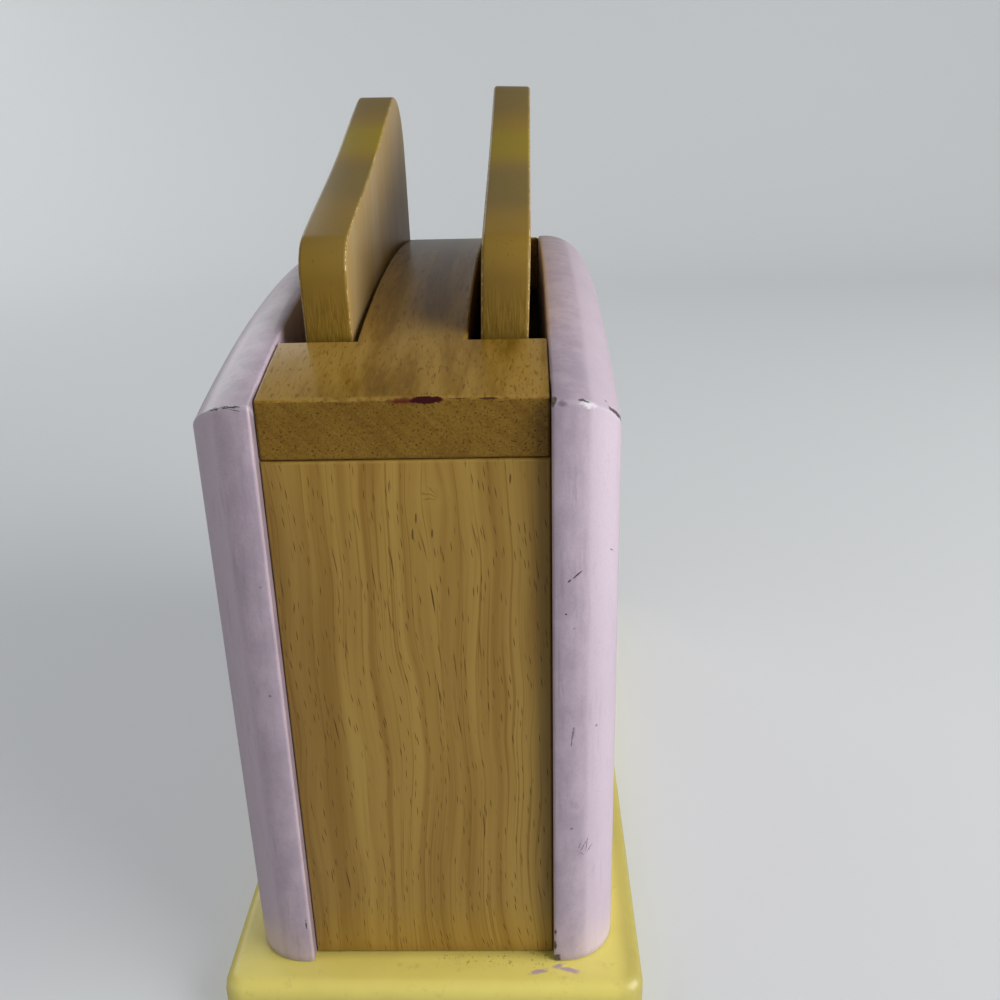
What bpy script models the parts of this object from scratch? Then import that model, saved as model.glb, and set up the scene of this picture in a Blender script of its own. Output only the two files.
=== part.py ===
"""Wooden toy toaster: a painted base and sides, lacquered ends and top block, two loose bread
slices on a sprung shelf, a lever at the far end and a turning dial on one side.

Metres, +Z up. X runs across the two slots, Y along them, and the origin is under the middle of
the base. The near end is at -Y.
"""
import math

import bmesh
import bpy
from mathutils import Matrix, Vector

# Clearances
SEAT_GAP = 0.0003
SLIDE_GAP = 0.0006
CUT_OVERRUN = 0.003

# Base board: how far it stands out beyond the body's ends and sides, and its thickness
BASE_END_MARGIN = 0.0127
BASE_SIDE_MARGIN = 0.0076
BASE_THICKNESS = 0.014
BASE_CORNER_RADIUS = 0.006
BASE_TOP_ROUND = 0.0035
BASE_BOTTOM_EASE = 0.001

# Body: length over the end panels, width between the side boards
BODY_LENGTH = 0.216
INNER_WIDTH = 0.066
PANEL_THICKNESS = 0.012
PANEL_HEIGHT = 0.1474
PANEL_EASE = 0.0006
BLOCK_END_HEIGHT = 0.0148
BLOCK_EASE = 0.001
ARCH_RADIUS = 0.474

# Side boards
SIDE_THICKNESS = 0.017
SIDE_OVERHANG = 0.0033
SIDE_ROUND = 0.014
SIDE_PROUD = 0.0005

# Bread slots in the top block
SLOT_WIDTH = 0.0194
SLOT_LENGTH = 0.157

# Bread slices: a flat heel, flared sides with a slight waist, two lobes and a low crown
SLICE_LENGTH = 0.1484
SLICE_THICKNESS = 0.0118
HEEL_WIDTH = 0.102
HEEL_RADIUS = 0.0095
LEFT_LOBE_WIDTH = 0.1295
RIGHT_LOBE_WIDTH = 0.132
LOBE_RADIUS = 0.025
LOBE_CENTRE_FROM_HEEL = 0.1209
WAIST_DEPTH = 0.0012
SLICE_EDGE_ROUND = 0.0013
LEFT_SLICE_FROM_STRIP = 0.0017
RIGHT_SLICE_FROM_STRIP = 0.0023
LEFT_SLICE_LEAN = math.radians(0.5)
RIGHT_SLICE_LEAN = math.radians(2.0)
SLICE_HEEL_FROM_SLOT_END = 0.0062

# Lift: shelf, lever bar and knob, guide rods and springs
LIFT_TRAVEL = 0.042
SHELF_TOP_ABOVE_BASE = 0.091
SHELF_END_CLEARANCE = 0.008
SHELF_SIDE_CLEARANCE = 0.003
SHELF_THICKNESS = 0.008
SHELF_EASE = 0.001
ROD_RADIUS = 0.003
ROD_FROM_SHELF_END = 0.036
ROD_SEAT_DEPTH = 0.008
SPRING_WIRE_RADIUS = 0.0005
SPRING_INNER_RADIUS = 0.0038
SPRING_END_PITCH = 0.0016
SPRING_TURNS = 14
SPRING_POINTS_PER_TURN = 9
ARM_WIDTH = 0.010
ARM_HEIGHT = 0.008
ARM_EASE = 0.0008
ARM_UNDER_SHELF = 0.026
KNOB_STANDOFF = 0.006
KNOB_RADIUS = 0.014
KNOB_LENGTH = 0.018
KNOB_COLLAR_RADIUS = 0.009
KNOB_COLLAR_LENGTH = 0.004
KNOB_FACE_ROUND = 0.006
KNOB_MORTISE_DEPTH = 0.008
LEVER_SLOT_SIDE_GAP = 0.0008
LEVER_SCREW_SPACING = 0.012
LEVER_SCREW_FROM_ARM_END = 0.006

# Dial on the right-hand side board
DIAL_FROM_FAR_END = 0.036
DIAL_ABOVE_BASE = 0.045
DIAL_RADIUS = 0.017
DIAL_THICKNESS = 0.010
DIAL_EDGE_ROUND = 0.0025
DIAL_NOTCH_WIDTH = 0.0024
DIAL_NOTCH_DEPTH = 0.0012
DIAL_NOTCH_INSET = 0.002
PEG_RADIUS = 0.004
PEG_HEAD_RADIUS = 0.0065
PEG_HEAD_DOME = 0.0025
PEG_HEAD_RIM = 0.0012
PEG_SEAT_DEPTH = 0.012
WASHER_RADIUS = 0.009
WASHER_THICKNESS = 0.0012

# Fasteners
SCREW_RADIUS = 0.002
SCREW_HEAD_RADIUS = 0.004
SCREW_LENGTH = 0.032
SCREW_TIP_LENGTH = 0.004
SCREW_TIP_RADIUS = 0.0006
SCREW_RECESS = 0.0006
CROSS_WIDTH = 0.001
CROSS_SPAN = 0.0044
CROSS_DEPTH = 0.0012
LEVER_SCREW_RADIUS = 0.0015
LEVER_SCREW_HEAD_RADIUS = 0.003
LEVER_SCREW_LENGTH = 0.0135
LEVER_CROSS_SPAN = 0.0034
SIDE_SCREW_SPACING = 0.140
PANEL_SCREW_SPACING = 0.036
DOWEL_RADIUS = 0.003
DOWEL_END_EASE = 0.0005
SIDE_DOWEL_IN_BOARD = 0.010
SIDE_DOWEL_IN_PANEL = 0.014
SIDE_DOWEL_LOW = 0.035
SIDE_DOWEL_HIGH = 0.115
TOP_DOWEL_SPACING = 0.040
TOP_DOWEL_IN_BLOCK = 0.009
TOP_DOWEL_IN_PANEL = 0.012

# Counts
ARCH_STEPS = 11
SIDE_ROUND_STEPS = 7
ROUND_STEPS = 20
SMALL_STEPS = 12
CORNER_STEPS = 7
LOBE_STEPS = 12
CROWN_STEPS = 5
WAIST_STEPS = 10

# Worked out from the sizes above
BASE_LENGTH = BODY_LENGTH + 2 * BASE_END_MARGIN
BASE_WIDTH = INNER_WIDTH + 2 * SIDE_THICKNESS + 2 * BASE_SIDE_MARGIN
BASE_TOP = BASE_THICKNESS
FOOT = BASE_TOP + SEAT_GAP
PANEL_TOP = BASE_TOP + PANEL_HEIGHT
BLOCK_FOOT = PANEL_TOP + SEAT_GAP
HALF_LENGTH = BODY_LENGTH / 2
HALF_INNER = INNER_WIDTH / 2
PANEL_MIDDLE = HALF_LENGTH - PANEL_THICKNESS / 2
ARCH_END = PANEL_TOP + BLOCK_END_HEIGHT
ARCH_CENTRE = ARCH_END - math.sqrt(ARCH_RADIUS ** 2 - HALF_LENGTH ** 2)
STRIP_WIDTH = INNER_WIDTH - 2 * SLOT_WIDTH
SHELF_TOP = BASE_TOP + SHELF_TOP_ABOVE_BASE
SHELF_FOOT = SHELF_TOP - SHELF_THICKNESS
SHELF_LENGTH = BODY_LENGTH - 2 * PANEL_THICKNESS - 2 * SHELF_END_CLEARANCE
SHELF_WIDTH = INNER_WIDTH - 2 * SHELF_SIDE_CLEARANCE
ROD_SPACING = SHELF_LENGTH - 2 * ROD_FROM_SHELF_END
ARM_TOP = SHELF_FOOT - SEAT_GAP
ARM_START = SHELF_LENGTH / 2 - ARM_UNDER_SHELF
KNOB_START = HALF_LENGTH + KNOB_STANDOFF
ARM_END = KNOB_START + KNOB_MORTISE_DEPTH - SEAT_GAP
SIDE_OUTER = HALF_INNER + SIDE_THICKNESS
DIAL_Y = HALF_LENGTH - DIAL_FROM_FAR_END
DIAL_Z = BASE_TOP + DIAL_ABOVE_BASE
DIAL_BACK = SIDE_OUTER + WASHER_THICKNESS + 2 * SEAT_GAP

ACROSS = Vector((1, 0, 0))
ALONG = Vector((0, 1, 0))
UP = Vector((0, 0, 1))
LEFT = -1
RIGHT = 1
NEAR = -1
FAR = 1


def clear_scene():
    """Remove what the scene holds, with its collections and materials."""
    for obj in list(bpy.data.objects):
        bpy.data.objects.remove(obj, do_unlink=True)
    for collection in list(bpy.data.collections):
        bpy.data.collections.remove(collection)
    for material in list(bpy.data.materials):
        bpy.data.materials.remove(material)


def new_collection(name):
    """Make a collection and link it to the scene."""
    collection = bpy.data.collections.new(name)
    bpy.context.scene.collection.children.link(collection)
    return collection


def finish(name, colour, roughness, metallic=0.0):
    """Return the named surface finish, made on first use."""
    material = bpy.data.materials.get(name)
    if material is None:
        material = bpy.data.materials.new(name)
        material.use_nodes = True
        shader = material.node_tree.nodes["Principled BSDF"]
        shader.inputs["Base Color"].default_value = (*colour, 1.0)
        shader.inputs["Roughness"].default_value = roughness
        shader.inputs["Metallic"].default_value = metallic
        material.diffuse_color = (*colour, 1.0)
        material.roughness = roughness
    return material


def lavender_paint(name):
    """Satin lavender paint."""
    return finish(name + "_paint", (0.52, 0.40, 0.51), 0.42)


def yellow_paint(name):
    """Satin yellow paint."""
    return finish(name + "_paint", (0.66, 0.57, 0.14), 0.42)


def lacquered_wood(name):
    """Clear-lacquered light hardwood."""
    return finish(name + "_wood", (0.40, 0.24, 0.10), 0.30)


def toasted_wood(name):
    """Stained wood of the bread slices."""
    return finish(name + "_wood", (0.34, 0.24, 0.12), 0.38)


def raw_wood(name):
    """Plain wood inside the body."""
    return finish(name + "_wood", (0.50, 0.36, 0.20), 0.60)


def steel(name):
    """Zinc-plated steel."""
    return finish(name + "_steel", (0.55, 0.55, 0.56), 0.35, 1.0)


def add_object(name, mesh, collection, material=None, place=(0, 0, 0)):
    """Link a mesh as a named object at its place, with its material."""
    obj = bpy.data.objects.new(name, mesh)
    obj.location = place
    if material is not None:
        mesh.materials.append(material)
    collection.objects.link(obj)
    return obj


def as_cutter(obj):
    """Mark an object as a cutter: drawn as wire and left out of renders."""
    obj.hide_render = True
    obj.display_type = "WIRE"
    return obj


def smooth(obj, angle=math.radians(32)):
    """Shade a piece smooth, with creases sharper than the angle kept."""
    obj.data.shade_smooth()
    obj.data.set_sharp_from_angle(angle=angle)


def box(name, size, collection, material=None, place=(0, 0, 0)):
    """A box of the given size, centred on its place."""
    mesh = bpy.data.meshes.new(name)
    bm = bmesh.new()
    bmesh.ops.create_cube(bm, size=1)
    bmesh.ops.scale(bm, vec=Vector(size), verts=bm.verts)
    bm.to_mesh(mesh)
    bm.free()
    return add_object(name, mesh, collection, material, place)


def cylinder(name, radius, length, axis, collection, material=None, place=(0, 0, 0),
             steps=ROUND_STEPS):
    """A cylinder centred on its place, along the given axis."""
    mesh = bpy.data.meshes.new(name)
    bm = bmesh.new()
    bmesh.ops.create_cone(
        bm, cap_ends=True, segments=steps, radius1=radius, radius2=radius, depth=length
    )
    bm.to_mesh(mesh)
    bm.free()
    obj = add_object(name, mesh, collection, material, place)
    obj.rotation_euler = UP.rotation_difference(axis).to_euler()
    return obj


def turned(name, profile, collection, material=None, place=(0, 0, 0), axis=UP,
           steps=SMALL_STEPS):
    """A shape turned about the axis from (radius, height) points that run from top to bottom."""
    mesh = bpy.data.meshes.new(name)
    points = [(radius, 0.0, height) for radius, height in profile]
    edges = [(i, i + 1) for i in range(len(points) - 1)]
    mesh.from_pydata(points, edges, [])
    obj = add_object(name, mesh, collection, material, place)
    obj.rotation_euler = UP.rotation_difference(axis).to_euler()
    screw = obj.modifiers.new("Turn", "SCREW")
    screw.axis = "Z"
    screw.steps = steps
    screw.render_steps = steps
    screw.use_merge_vertices = True
    screw.merge_threshold = 0.00001
    screw.use_smooth_shade = True
    return obj


def cut_outline(name, points, thickness, collection, material=None):
    """A board cut to an outline of (y, z) points, with its thickness along X."""
    curve = bpy.data.curves.new(name, "CURVE")
    curve.dimensions = "2D"
    curve.fill_mode = "BOTH"
    curve.extrude = thickness / 2
    spline = curve.splines.new("POLY")
    spline.points.add(len(points) - 1)
    for point, (y, z) in zip(spline.points, points):
        point.co = (y, z, 0.0, 1.0)
    spline.use_cyclic_u = True
    drawn = bpy.data.objects.new(name + "_outline", curve)
    collection.objects.link(drawn)
    bpy.context.view_layer.update()
    evaluated = drawn.evaluated_get(bpy.context.evaluated_depsgraph_get())
    mesh = bpy.data.meshes.new_from_object(evaluated)
    mesh.name = name
    bm = bmesh.new()
    bm.from_mesh(mesh)
    bmesh.ops.remove_doubles(bm, verts=bm.verts, dist=0.00001)
    bmesh.ops.dissolve_limit(
        bm, angle_limit=math.radians(0.05), verts=bm.verts, edges=bm.edges
    )
    bmesh.ops.recalc_face_normals(bm, faces=bm.faces)
    bm.to_mesh(mesh)
    bm.free()
    obj = add_object(name, mesh, collection, material)
    obj.matrix_world = drawn.matrix_world
    obj.rotation_euler = (math.pi / 2, 0, math.pi / 2)
    bpy.data.objects.remove(drawn, do_unlink=True)
    return obj


def ease(obj, width, segments=1, name="Ease"):
    """Round or chamfer the sharp edges of a piece."""
    bevel = obj.modifiers.new(name, "BEVEL")
    bevel.width = width
    bevel.segments = segments
    bevel.limit_method = "ANGLE"
    bevel.angle_limit = math.radians(40)
    bevel.miter_outer = "MITER_SHARP"
    return bevel


def cut(target, cutter):
    """Take the cutter's shape out of the target."""
    as_cutter(cutter)
    modifier = target.modifiers.new("Cut " + cutter.name, "BOOLEAN")
    modifier.operation = "DIFFERENCE"
    modifier.solver = "EXACT"
    modifier.object = cutter


def arch_height(y, proud=0.0):
    """Height of the arched top at y, raised by proud."""
    return ARCH_CENTRE + math.sqrt((ARCH_RADIUS + proud) ** 2 - y ** 2)


def arch_points(half_length, proud=0.0):
    """Points of the arch from the far end to the near end."""
    points = []
    for i in range(ARCH_STEPS + 1):
        y = half_length * (1 - 2 * i / ARCH_STEPS)
        points.append((y, arch_height(y, proud)))
    return points


def base_board(parts):
    """Base board: rounded corners, a rounded top edge and an eased bottom edge."""
    board = box("base_board", (BASE_WIDTH, BASE_LENGTH, BASE_THICKNESS), parts,
                yellow_paint("base_board"), (0, 0, BASE_THICKNESS / 2))
    bm = bmesh.new()
    bm.from_mesh(board.data)
    upright = [e for e in bm.edges if abs((e.verts[0].co - e.verts[1].co).normalized().z) > 0.9]
    bmesh.ops.bevel(bm, geom=upright, offset=BASE_CORNER_RADIUS, segments=4, profile=0.5,
                    affect="EDGES")
    top = [e for e in bm.edges if all(v.co.z > 0 for v in e.verts)]
    bmesh.ops.bevel(bm, geom=top, offset=BASE_TOP_ROUND, segments=4, profile=0.5,
                    affect="EDGES")
    lowest = min(v.co.z for v in bm.verts)
    bottom = [e for e in bm.edges if all(v.co.z == lowest for v in e.verts)]
    bmesh.ops.bevel(bm, geom=bottom, offset=BASE_BOTTOM_EASE, segments=1, affect="EDGES")
    bm.to_mesh(board.data)
    bm.free()
    smooth(board)
    return board


def side_board(name, side, parts):
    """Side board: arched top, with a deep quarter-round along its outer edge but not its foot."""
    half_length = HALF_LENGTH + SIDE_OVERHANG
    thickness = SIDE_THICKNESS - SEAT_GAP
    outline = arch_points(half_length, SIDE_PROUD)
    outline += [(-half_length, FOOT), (half_length, FOOT)]
    board = cut_outline(name, outline, thickness, parts, lavender_paint(name))
    board.location.x = side * (HALF_INNER + SEAT_GAP + thickness / 2)
    bm = bmesh.new()
    bm.from_mesh(board.data)
    outer_face = side * thickness / 2
    outer = []
    for edge in bm.edges:
        on_outer = all(v.co.z * side > outer_face * side / 2 for v in edge.verts)
        on_foot = all(v.co.y < (FOOT + PANEL_TOP) / 2 for v in edge.verts)
        if on_outer and not on_foot:
            outer.append(edge)
    bmesh.ops.bevel(bm, geom=outer, offset=SIDE_ROUND, segments=SIDE_ROUND_STEPS, profile=0.5,
                    affect="EDGES", clamp_overlap=False)
    bm.to_mesh(board.data)
    bm.free()
    smooth(board, math.radians(25))
    return board


def end_panel(name, end, parts):
    """End panel: a plain board between the sides."""
    height = PANEL_TOP - FOOT
    panel = box(name, (INNER_WIDTH - 2 * SEAT_GAP, PANEL_THICKNESS, height), parts,
                lacquered_wood(name), (0, end * PANEL_MIDDLE, FOOT + height / 2))
    ease(panel, PANEL_EASE)
    return panel


def top_block(parts, cutters):
    """Top block: arched board with two slots notched into its sides."""
    outline = arch_points(HALF_LENGTH)
    outline += [(-HALF_LENGTH, BLOCK_FOOT), (HALF_LENGTH, BLOCK_FOOT)]
    block = cut_outline("top_block", outline, INNER_WIDTH - 2 * SEAT_GAP, parts,
                        lacquered_wood("top_block"))
    notch_top = arch_height(0) + CUT_OVERRUN
    notch_foot = BLOCK_FOOT - CUT_OVERRUN
    for side in (LEFT, RIGHT):
        notch_width = SLOT_WIDTH + CUT_OVERRUN
        notch = box("slot_notch", (notch_width, SLOT_LENGTH, notch_top - notch_foot), cutters)
        notch.location.x = side * (STRIP_WIDTH / 2 + notch_width / 2)
        notch.location.z = (notch_top + notch_foot) / 2
        cut(block, notch)
    ease(block, BLOCK_EASE, 2)
    return block


def lever_slot(parts_panel, cutters):
    """Upright slot in the far panel. Its ends stop the lever bar's travel."""
    top = ARM_TOP + SEAT_GAP
    foot = ARM_TOP - ARM_HEIGHT - LIFT_TRAVEL - SEAT_GAP
    width = ARM_WIDTH + 2 * LEVER_SLOT_SIDE_GAP
    slot = box("lever_slot", (width, PANEL_THICKNESS + 2 * CUT_OVERRUN, top - foot), cutters,
               None, (0, PANEL_MIDDLE, (top + foot) / 2))
    cut(parts_panel, slot)


def arc(centre, radius, start, end, steps):
    """Points of an arc, from one angle to the other."""
    points = []
    for i in range(steps + 1):
        angle = start + (end - start) * i / steps
        points.append((centre[0] + radius * math.cos(angle),
                       centre[1] + radius * math.sin(angle)))
    return points


def slice_flare(lobe_width):
    """Angle at which the sides flare, from the tangent to the heel and lobe circles."""
    run = LOBE_CENTRE_FROM_HEEL - HEEL_RADIUS
    rise = (lobe_width / 2 - LOBE_RADIUS) - (HEEL_WIDTH / 2 - HEEL_RADIUS)
    distance = math.hypot(run, rise)
    return math.atan2(rise, run) + math.asin((LOBE_RADIUS - HEEL_RADIUS) / distance)


def slice_outline(lobe_width):
    """Outline of a slice as (u, v): u from the heel to the crown, v across, in arcs."""
    flare = slice_flare(lobe_width)
    heel = (HEEL_RADIUS, HEEL_WIDTH / 2 - HEEL_RADIUS)
    lobe = (LOBE_CENTRE_FROM_HEEL, lobe_width / 2 - LOBE_RADIUS)
    reach = SLICE_LENGTH - LOBE_RADIUS
    crown_centre = (reach ** 2 - lobe[0] ** 2 - lobe[1] ** 2) / (2 * (reach - lobe[0]))
    crown_radius = SLICE_LENGTH - crown_centre
    crown_angle = math.atan2(lobe[1], lobe[0] - crown_centre)
    normal = math.pi / 2 + flare
    half = arc(heel, HEEL_RADIUS, math.pi, normal, CORNER_STEPS)
    start = Vector(half[-1])
    lobe_arc = arc(lobe, LOBE_RADIUS, normal, crown_angle, LOBE_STEPS)
    end = Vector(lobe_arc[0])
    inward = Vector((math.sin(flare), -math.cos(flare)))
    for i in range(1, WAIST_STEPS):
        share = i / WAIST_STEPS
        point = start.lerp(end, share) + inward * WAIST_DEPTH * math.sin(math.pi * share) ** 2
        half.append((point.x, point.y))
    half += lobe_arc
    half += arc((crown_centre, 0), crown_radius, crown_angle, 0, CROWN_STEPS)[1:]
    mirrored = [(u, -v) for u, v in reversed(half[:-1])]
    return half + mirrored


def toast_slice(name, side, lobe_width, from_strip, lean, parts):
    """Bread slice lying sideways, heel to the near end, its flared side down on the shelf.

    It stands loose in its slot, so it leans a little to the right.
    """
    piece = cut_outline(name, list(reversed(slice_outline(lobe_width))), SLICE_THICKNESS, parts,
                        toasted_wood(name))
    tilt = slice_flare(lobe_width)
    upright = Matrix.Rotation(math.pi / 2, 4, "Z") @ Matrix.Rotation(math.pi / 2, 4, "X")
    leaning = Matrix.Rotation(lean, 4, "Y") @ Matrix.Rotation(tilt, 4, "X")
    piece.rotation_euler = (leaning @ upright).to_euler()
    heel_drop = ((HEEL_WIDTH / 2 - HEEL_RADIUS) * math.cos(tilt)
                 + HEEL_RADIUS - HEEL_RADIUS * math.sin(tilt))
    piece.location = (side * (STRIP_WIDTH / 2 + from_strip + SLICE_THICKNESS / 2),
                      -SLOT_LENGTH / 2 + SLICE_HEEL_FROM_SLOT_END,
                      SHELF_TOP + SEAT_GAP + heel_drop + SLICE_THICKNESS / 2 * math.sin(lean))
    ease(piece, SLICE_EDGE_ROUND, 2)
    smooth(piece, math.radians(40))
    return piece


def lift_shelf(parts, cutters):
    """Shelf that carries both slices and slides on the guide rods."""
    shelf = box("lift_shelf", (SHELF_WIDTH, SHELF_LENGTH, SHELF_THICKNESS), parts,
                raw_wood("lift_shelf"), (0, 0, SHELF_FOOT + SHELF_THICKNESS / 2))
    ease(shelf, SHELF_EASE)
    for end in (NEAR, FAR):
        hole = cylinder("rod_hole", ROD_RADIUS + SLIDE_GAP, SHELF_THICKNESS + 2 * CUT_OVERRUN, UP,
                        cutters, None, (0, end * ROD_SPACING / 2, shelf.location.z))
        cut(shelf, hole)
    return shelf


def guide_rod(name, end, parts, cutters, base, block):
    """Guide rod, let into the base and into the top block."""
    foot = BASE_TOP - ROD_SEAT_DEPTH
    top = BLOCK_FOOT + ROD_SEAT_DEPTH
    place = (0, end * ROD_SPACING / 2, (foot + top) / 2)
    rod = cylinder(name, ROD_RADIUS, top - foot - 2 * SEAT_GAP, UP, parts, raw_wood(name), place)
    smooth(rod)
    for board in (base, block):
        hole = cylinder("rod_seat", ROD_RADIUS + SEAT_GAP, top - foot, UP, cutters, None, place)
        cut(board, hole)
    return rod


def spring_height(turn, length):
    """Height along the spring after so many turns, with closer turns at both ends."""
    open_pitch = (length - 2 * SPRING_END_PITCH) / (SPRING_TURNS - 2)
    if turn < 1:
        return SPRING_END_PITCH * turn
    if turn > SPRING_TURNS - 1:
        return length - SPRING_END_PITCH * (SPRING_TURNS - turn)
    return SPRING_END_PITCH + open_pitch * (turn - 1)


def spring(name, end, parts):
    """Compression spring round a guide rod, from the base to the shelf, as one unbroken wire."""
    foot = BASE_TOP + SEAT_GAP + SPRING_WIRE_RADIUS
    length = SHELF_FOOT - SEAT_GAP - SPRING_WIRE_RADIUS - foot
    radius = SPRING_INNER_RADIUS + SPRING_WIRE_RADIUS
    curve = bpy.data.curves.new(name, "CURVE")
    curve.dimensions = "3D"
    curve.bevel_depth = SPRING_WIRE_RADIUS
    curve.bevel_resolution = 1
    curve.use_fill_caps = True
    wire = curve.splines.new("POLY")
    count = SPRING_TURNS * SPRING_POINTS_PER_TURN
    wire.points.add(count)
    centres = []
    for i, point in enumerate(wire.points):
        turn = i / SPRING_POINTS_PER_TURN
        angle = 2 * math.pi * turn
        centres.append(Vector((radius * math.cos(angle), radius * math.sin(angle),
                               spring_height(turn, length))))
        point.co = (*centres[-1], 1.0)
    curve.materials.append(steel(name))
    obj = bpy.data.objects.new(name, curve)
    obj.location = (0, end * ROD_SPACING / 2, foot)
    parts.objects.link(obj)
    apart = SPRING_POINTS_PER_TURN // 2
    gap = min((a - b).length for i, a in enumerate(centres) for b in centres[i + apart:])
    print(name, "least gap to itself, mm:", round((gap - 2 * SPRING_WIRE_RADIUS) * 1000, 3))
    return obj


def screw_profile(radius, head_radius, length, grow=0.0, below=0.0):
    """Profile of a countersunk screw, head at the foot, tip up, grown by a clearance."""
    head_height = head_radius - radius
    profile = [
        (0.0, length + grow),
        (SCREW_TIP_RADIUS + grow, length + grow),
        (radius + grow, length - SCREW_TIP_LENGTH),
        (radius + grow, head_height),
        (head_radius + grow, 0.0),
    ]
    if below > 0:
        profile.append((head_radius + grow, -below))
    profile.append((0.0, -below))
    return profile


def screw(name, place, parts, cutters, through, radius=SCREW_RADIUS,
          head_radius=SCREW_HEAD_RADIUS, length=SCREW_LENGTH, cross_span=CROSS_SPAN):
    """Countersunk screw driven upwards from its place, and its hole in each piece it holds."""
    head = Vector(place) + UP * SCREW_RECESS
    obj = turned(name, screw_profile(radius, head_radius, length), parts, steel(name), head)
    for size in ((cross_span, CROSS_WIDTH), (CROSS_WIDTH, cross_span)):
        depth = CROSS_DEPTH + CUT_OVERRUN
        bar = box(name + "_cross", (*size, depth), cutters, None,
                  head + UP * (CROSS_DEPTH - depth / 2))
        cut(obj, bar)
    for piece in through:
        hole = turned(name + "_hole",
                      screw_profile(radius, head_radius, length, SEAT_GAP, CUT_OVERRUN),
                      cutters, None, head)
        cut(piece, hole)
    return obj


def dowel(name, start, axis, length, pieces, parts, cutters):
    """Dowel from its start along the axis, and its blind hole in each piece it joins."""
    middle = Vector(start) + axis * length / 2
    obj = cylinder(name, DOWEL_RADIUS, length - 2 * SEAT_GAP, axis, parts, raw_wood(name), middle)
    ease(obj, DOWEL_END_EASE)
    smooth(obj)
    for piece in pieces:
        hole = cylinder(name + "_hole", DOWEL_RADIUS + SEAT_GAP, length, axis, cutters, None,
                        middle)
        cut(piece, hole)
    return obj


def lever_arm(parts):
    """Lever bar, from under the shelf through the far panel into the knob."""
    arm = box("lever_arm", (ARM_WIDTH, ARM_END - ARM_START, ARM_HEIGHT), parts,
              raw_wood("lever_arm"), (0, (ARM_START + ARM_END) / 2, ARM_TOP - ARM_HEIGHT / 2))
    ease(arm, ARM_EASE)
    return arm


def lever_knob(parts, cutters):
    """Turned knob with a narrower collar, morticed for the lever bar."""
    profile = [(0.0, KNOB_LENGTH)]
    rounding = arc((KNOB_RADIUS - KNOB_FACE_ROUND, KNOB_LENGTH - KNOB_FACE_ROUND),
                   KNOB_FACE_ROUND, math.pi / 2, 0, CORNER_STEPS // 2)
    profile += rounding
    cove = KNOB_RADIUS - KNOB_COLLAR_RADIUS
    profile.append((KNOB_RADIUS, KNOB_COLLAR_LENGTH + cove))
    profile += [(KNOB_COLLAR_RADIUS, KNOB_COLLAR_LENGTH), (KNOB_COLLAR_RADIUS, 0.0), (0.0, 0.0)]
    middle = ARM_TOP - ARM_HEIGHT / 2
    knob = turned("lever_knob", profile, parts, yellow_paint("lever_knob"),
                  (0, KNOB_START, middle), ALONG, ROUND_STEPS)
    depth = KNOB_MORTISE_DEPTH + CUT_OVERRUN
    mortise = box("knob_mortise", (ARM_WIDTH + 2 * SEAT_GAP, depth, ARM_HEIGHT + 2 * SEAT_GAP),
                  cutters, None, (0, KNOB_START + KNOB_MORTISE_DEPTH - depth / 2, middle))
    cut(knob, mortise)
    return knob


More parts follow.
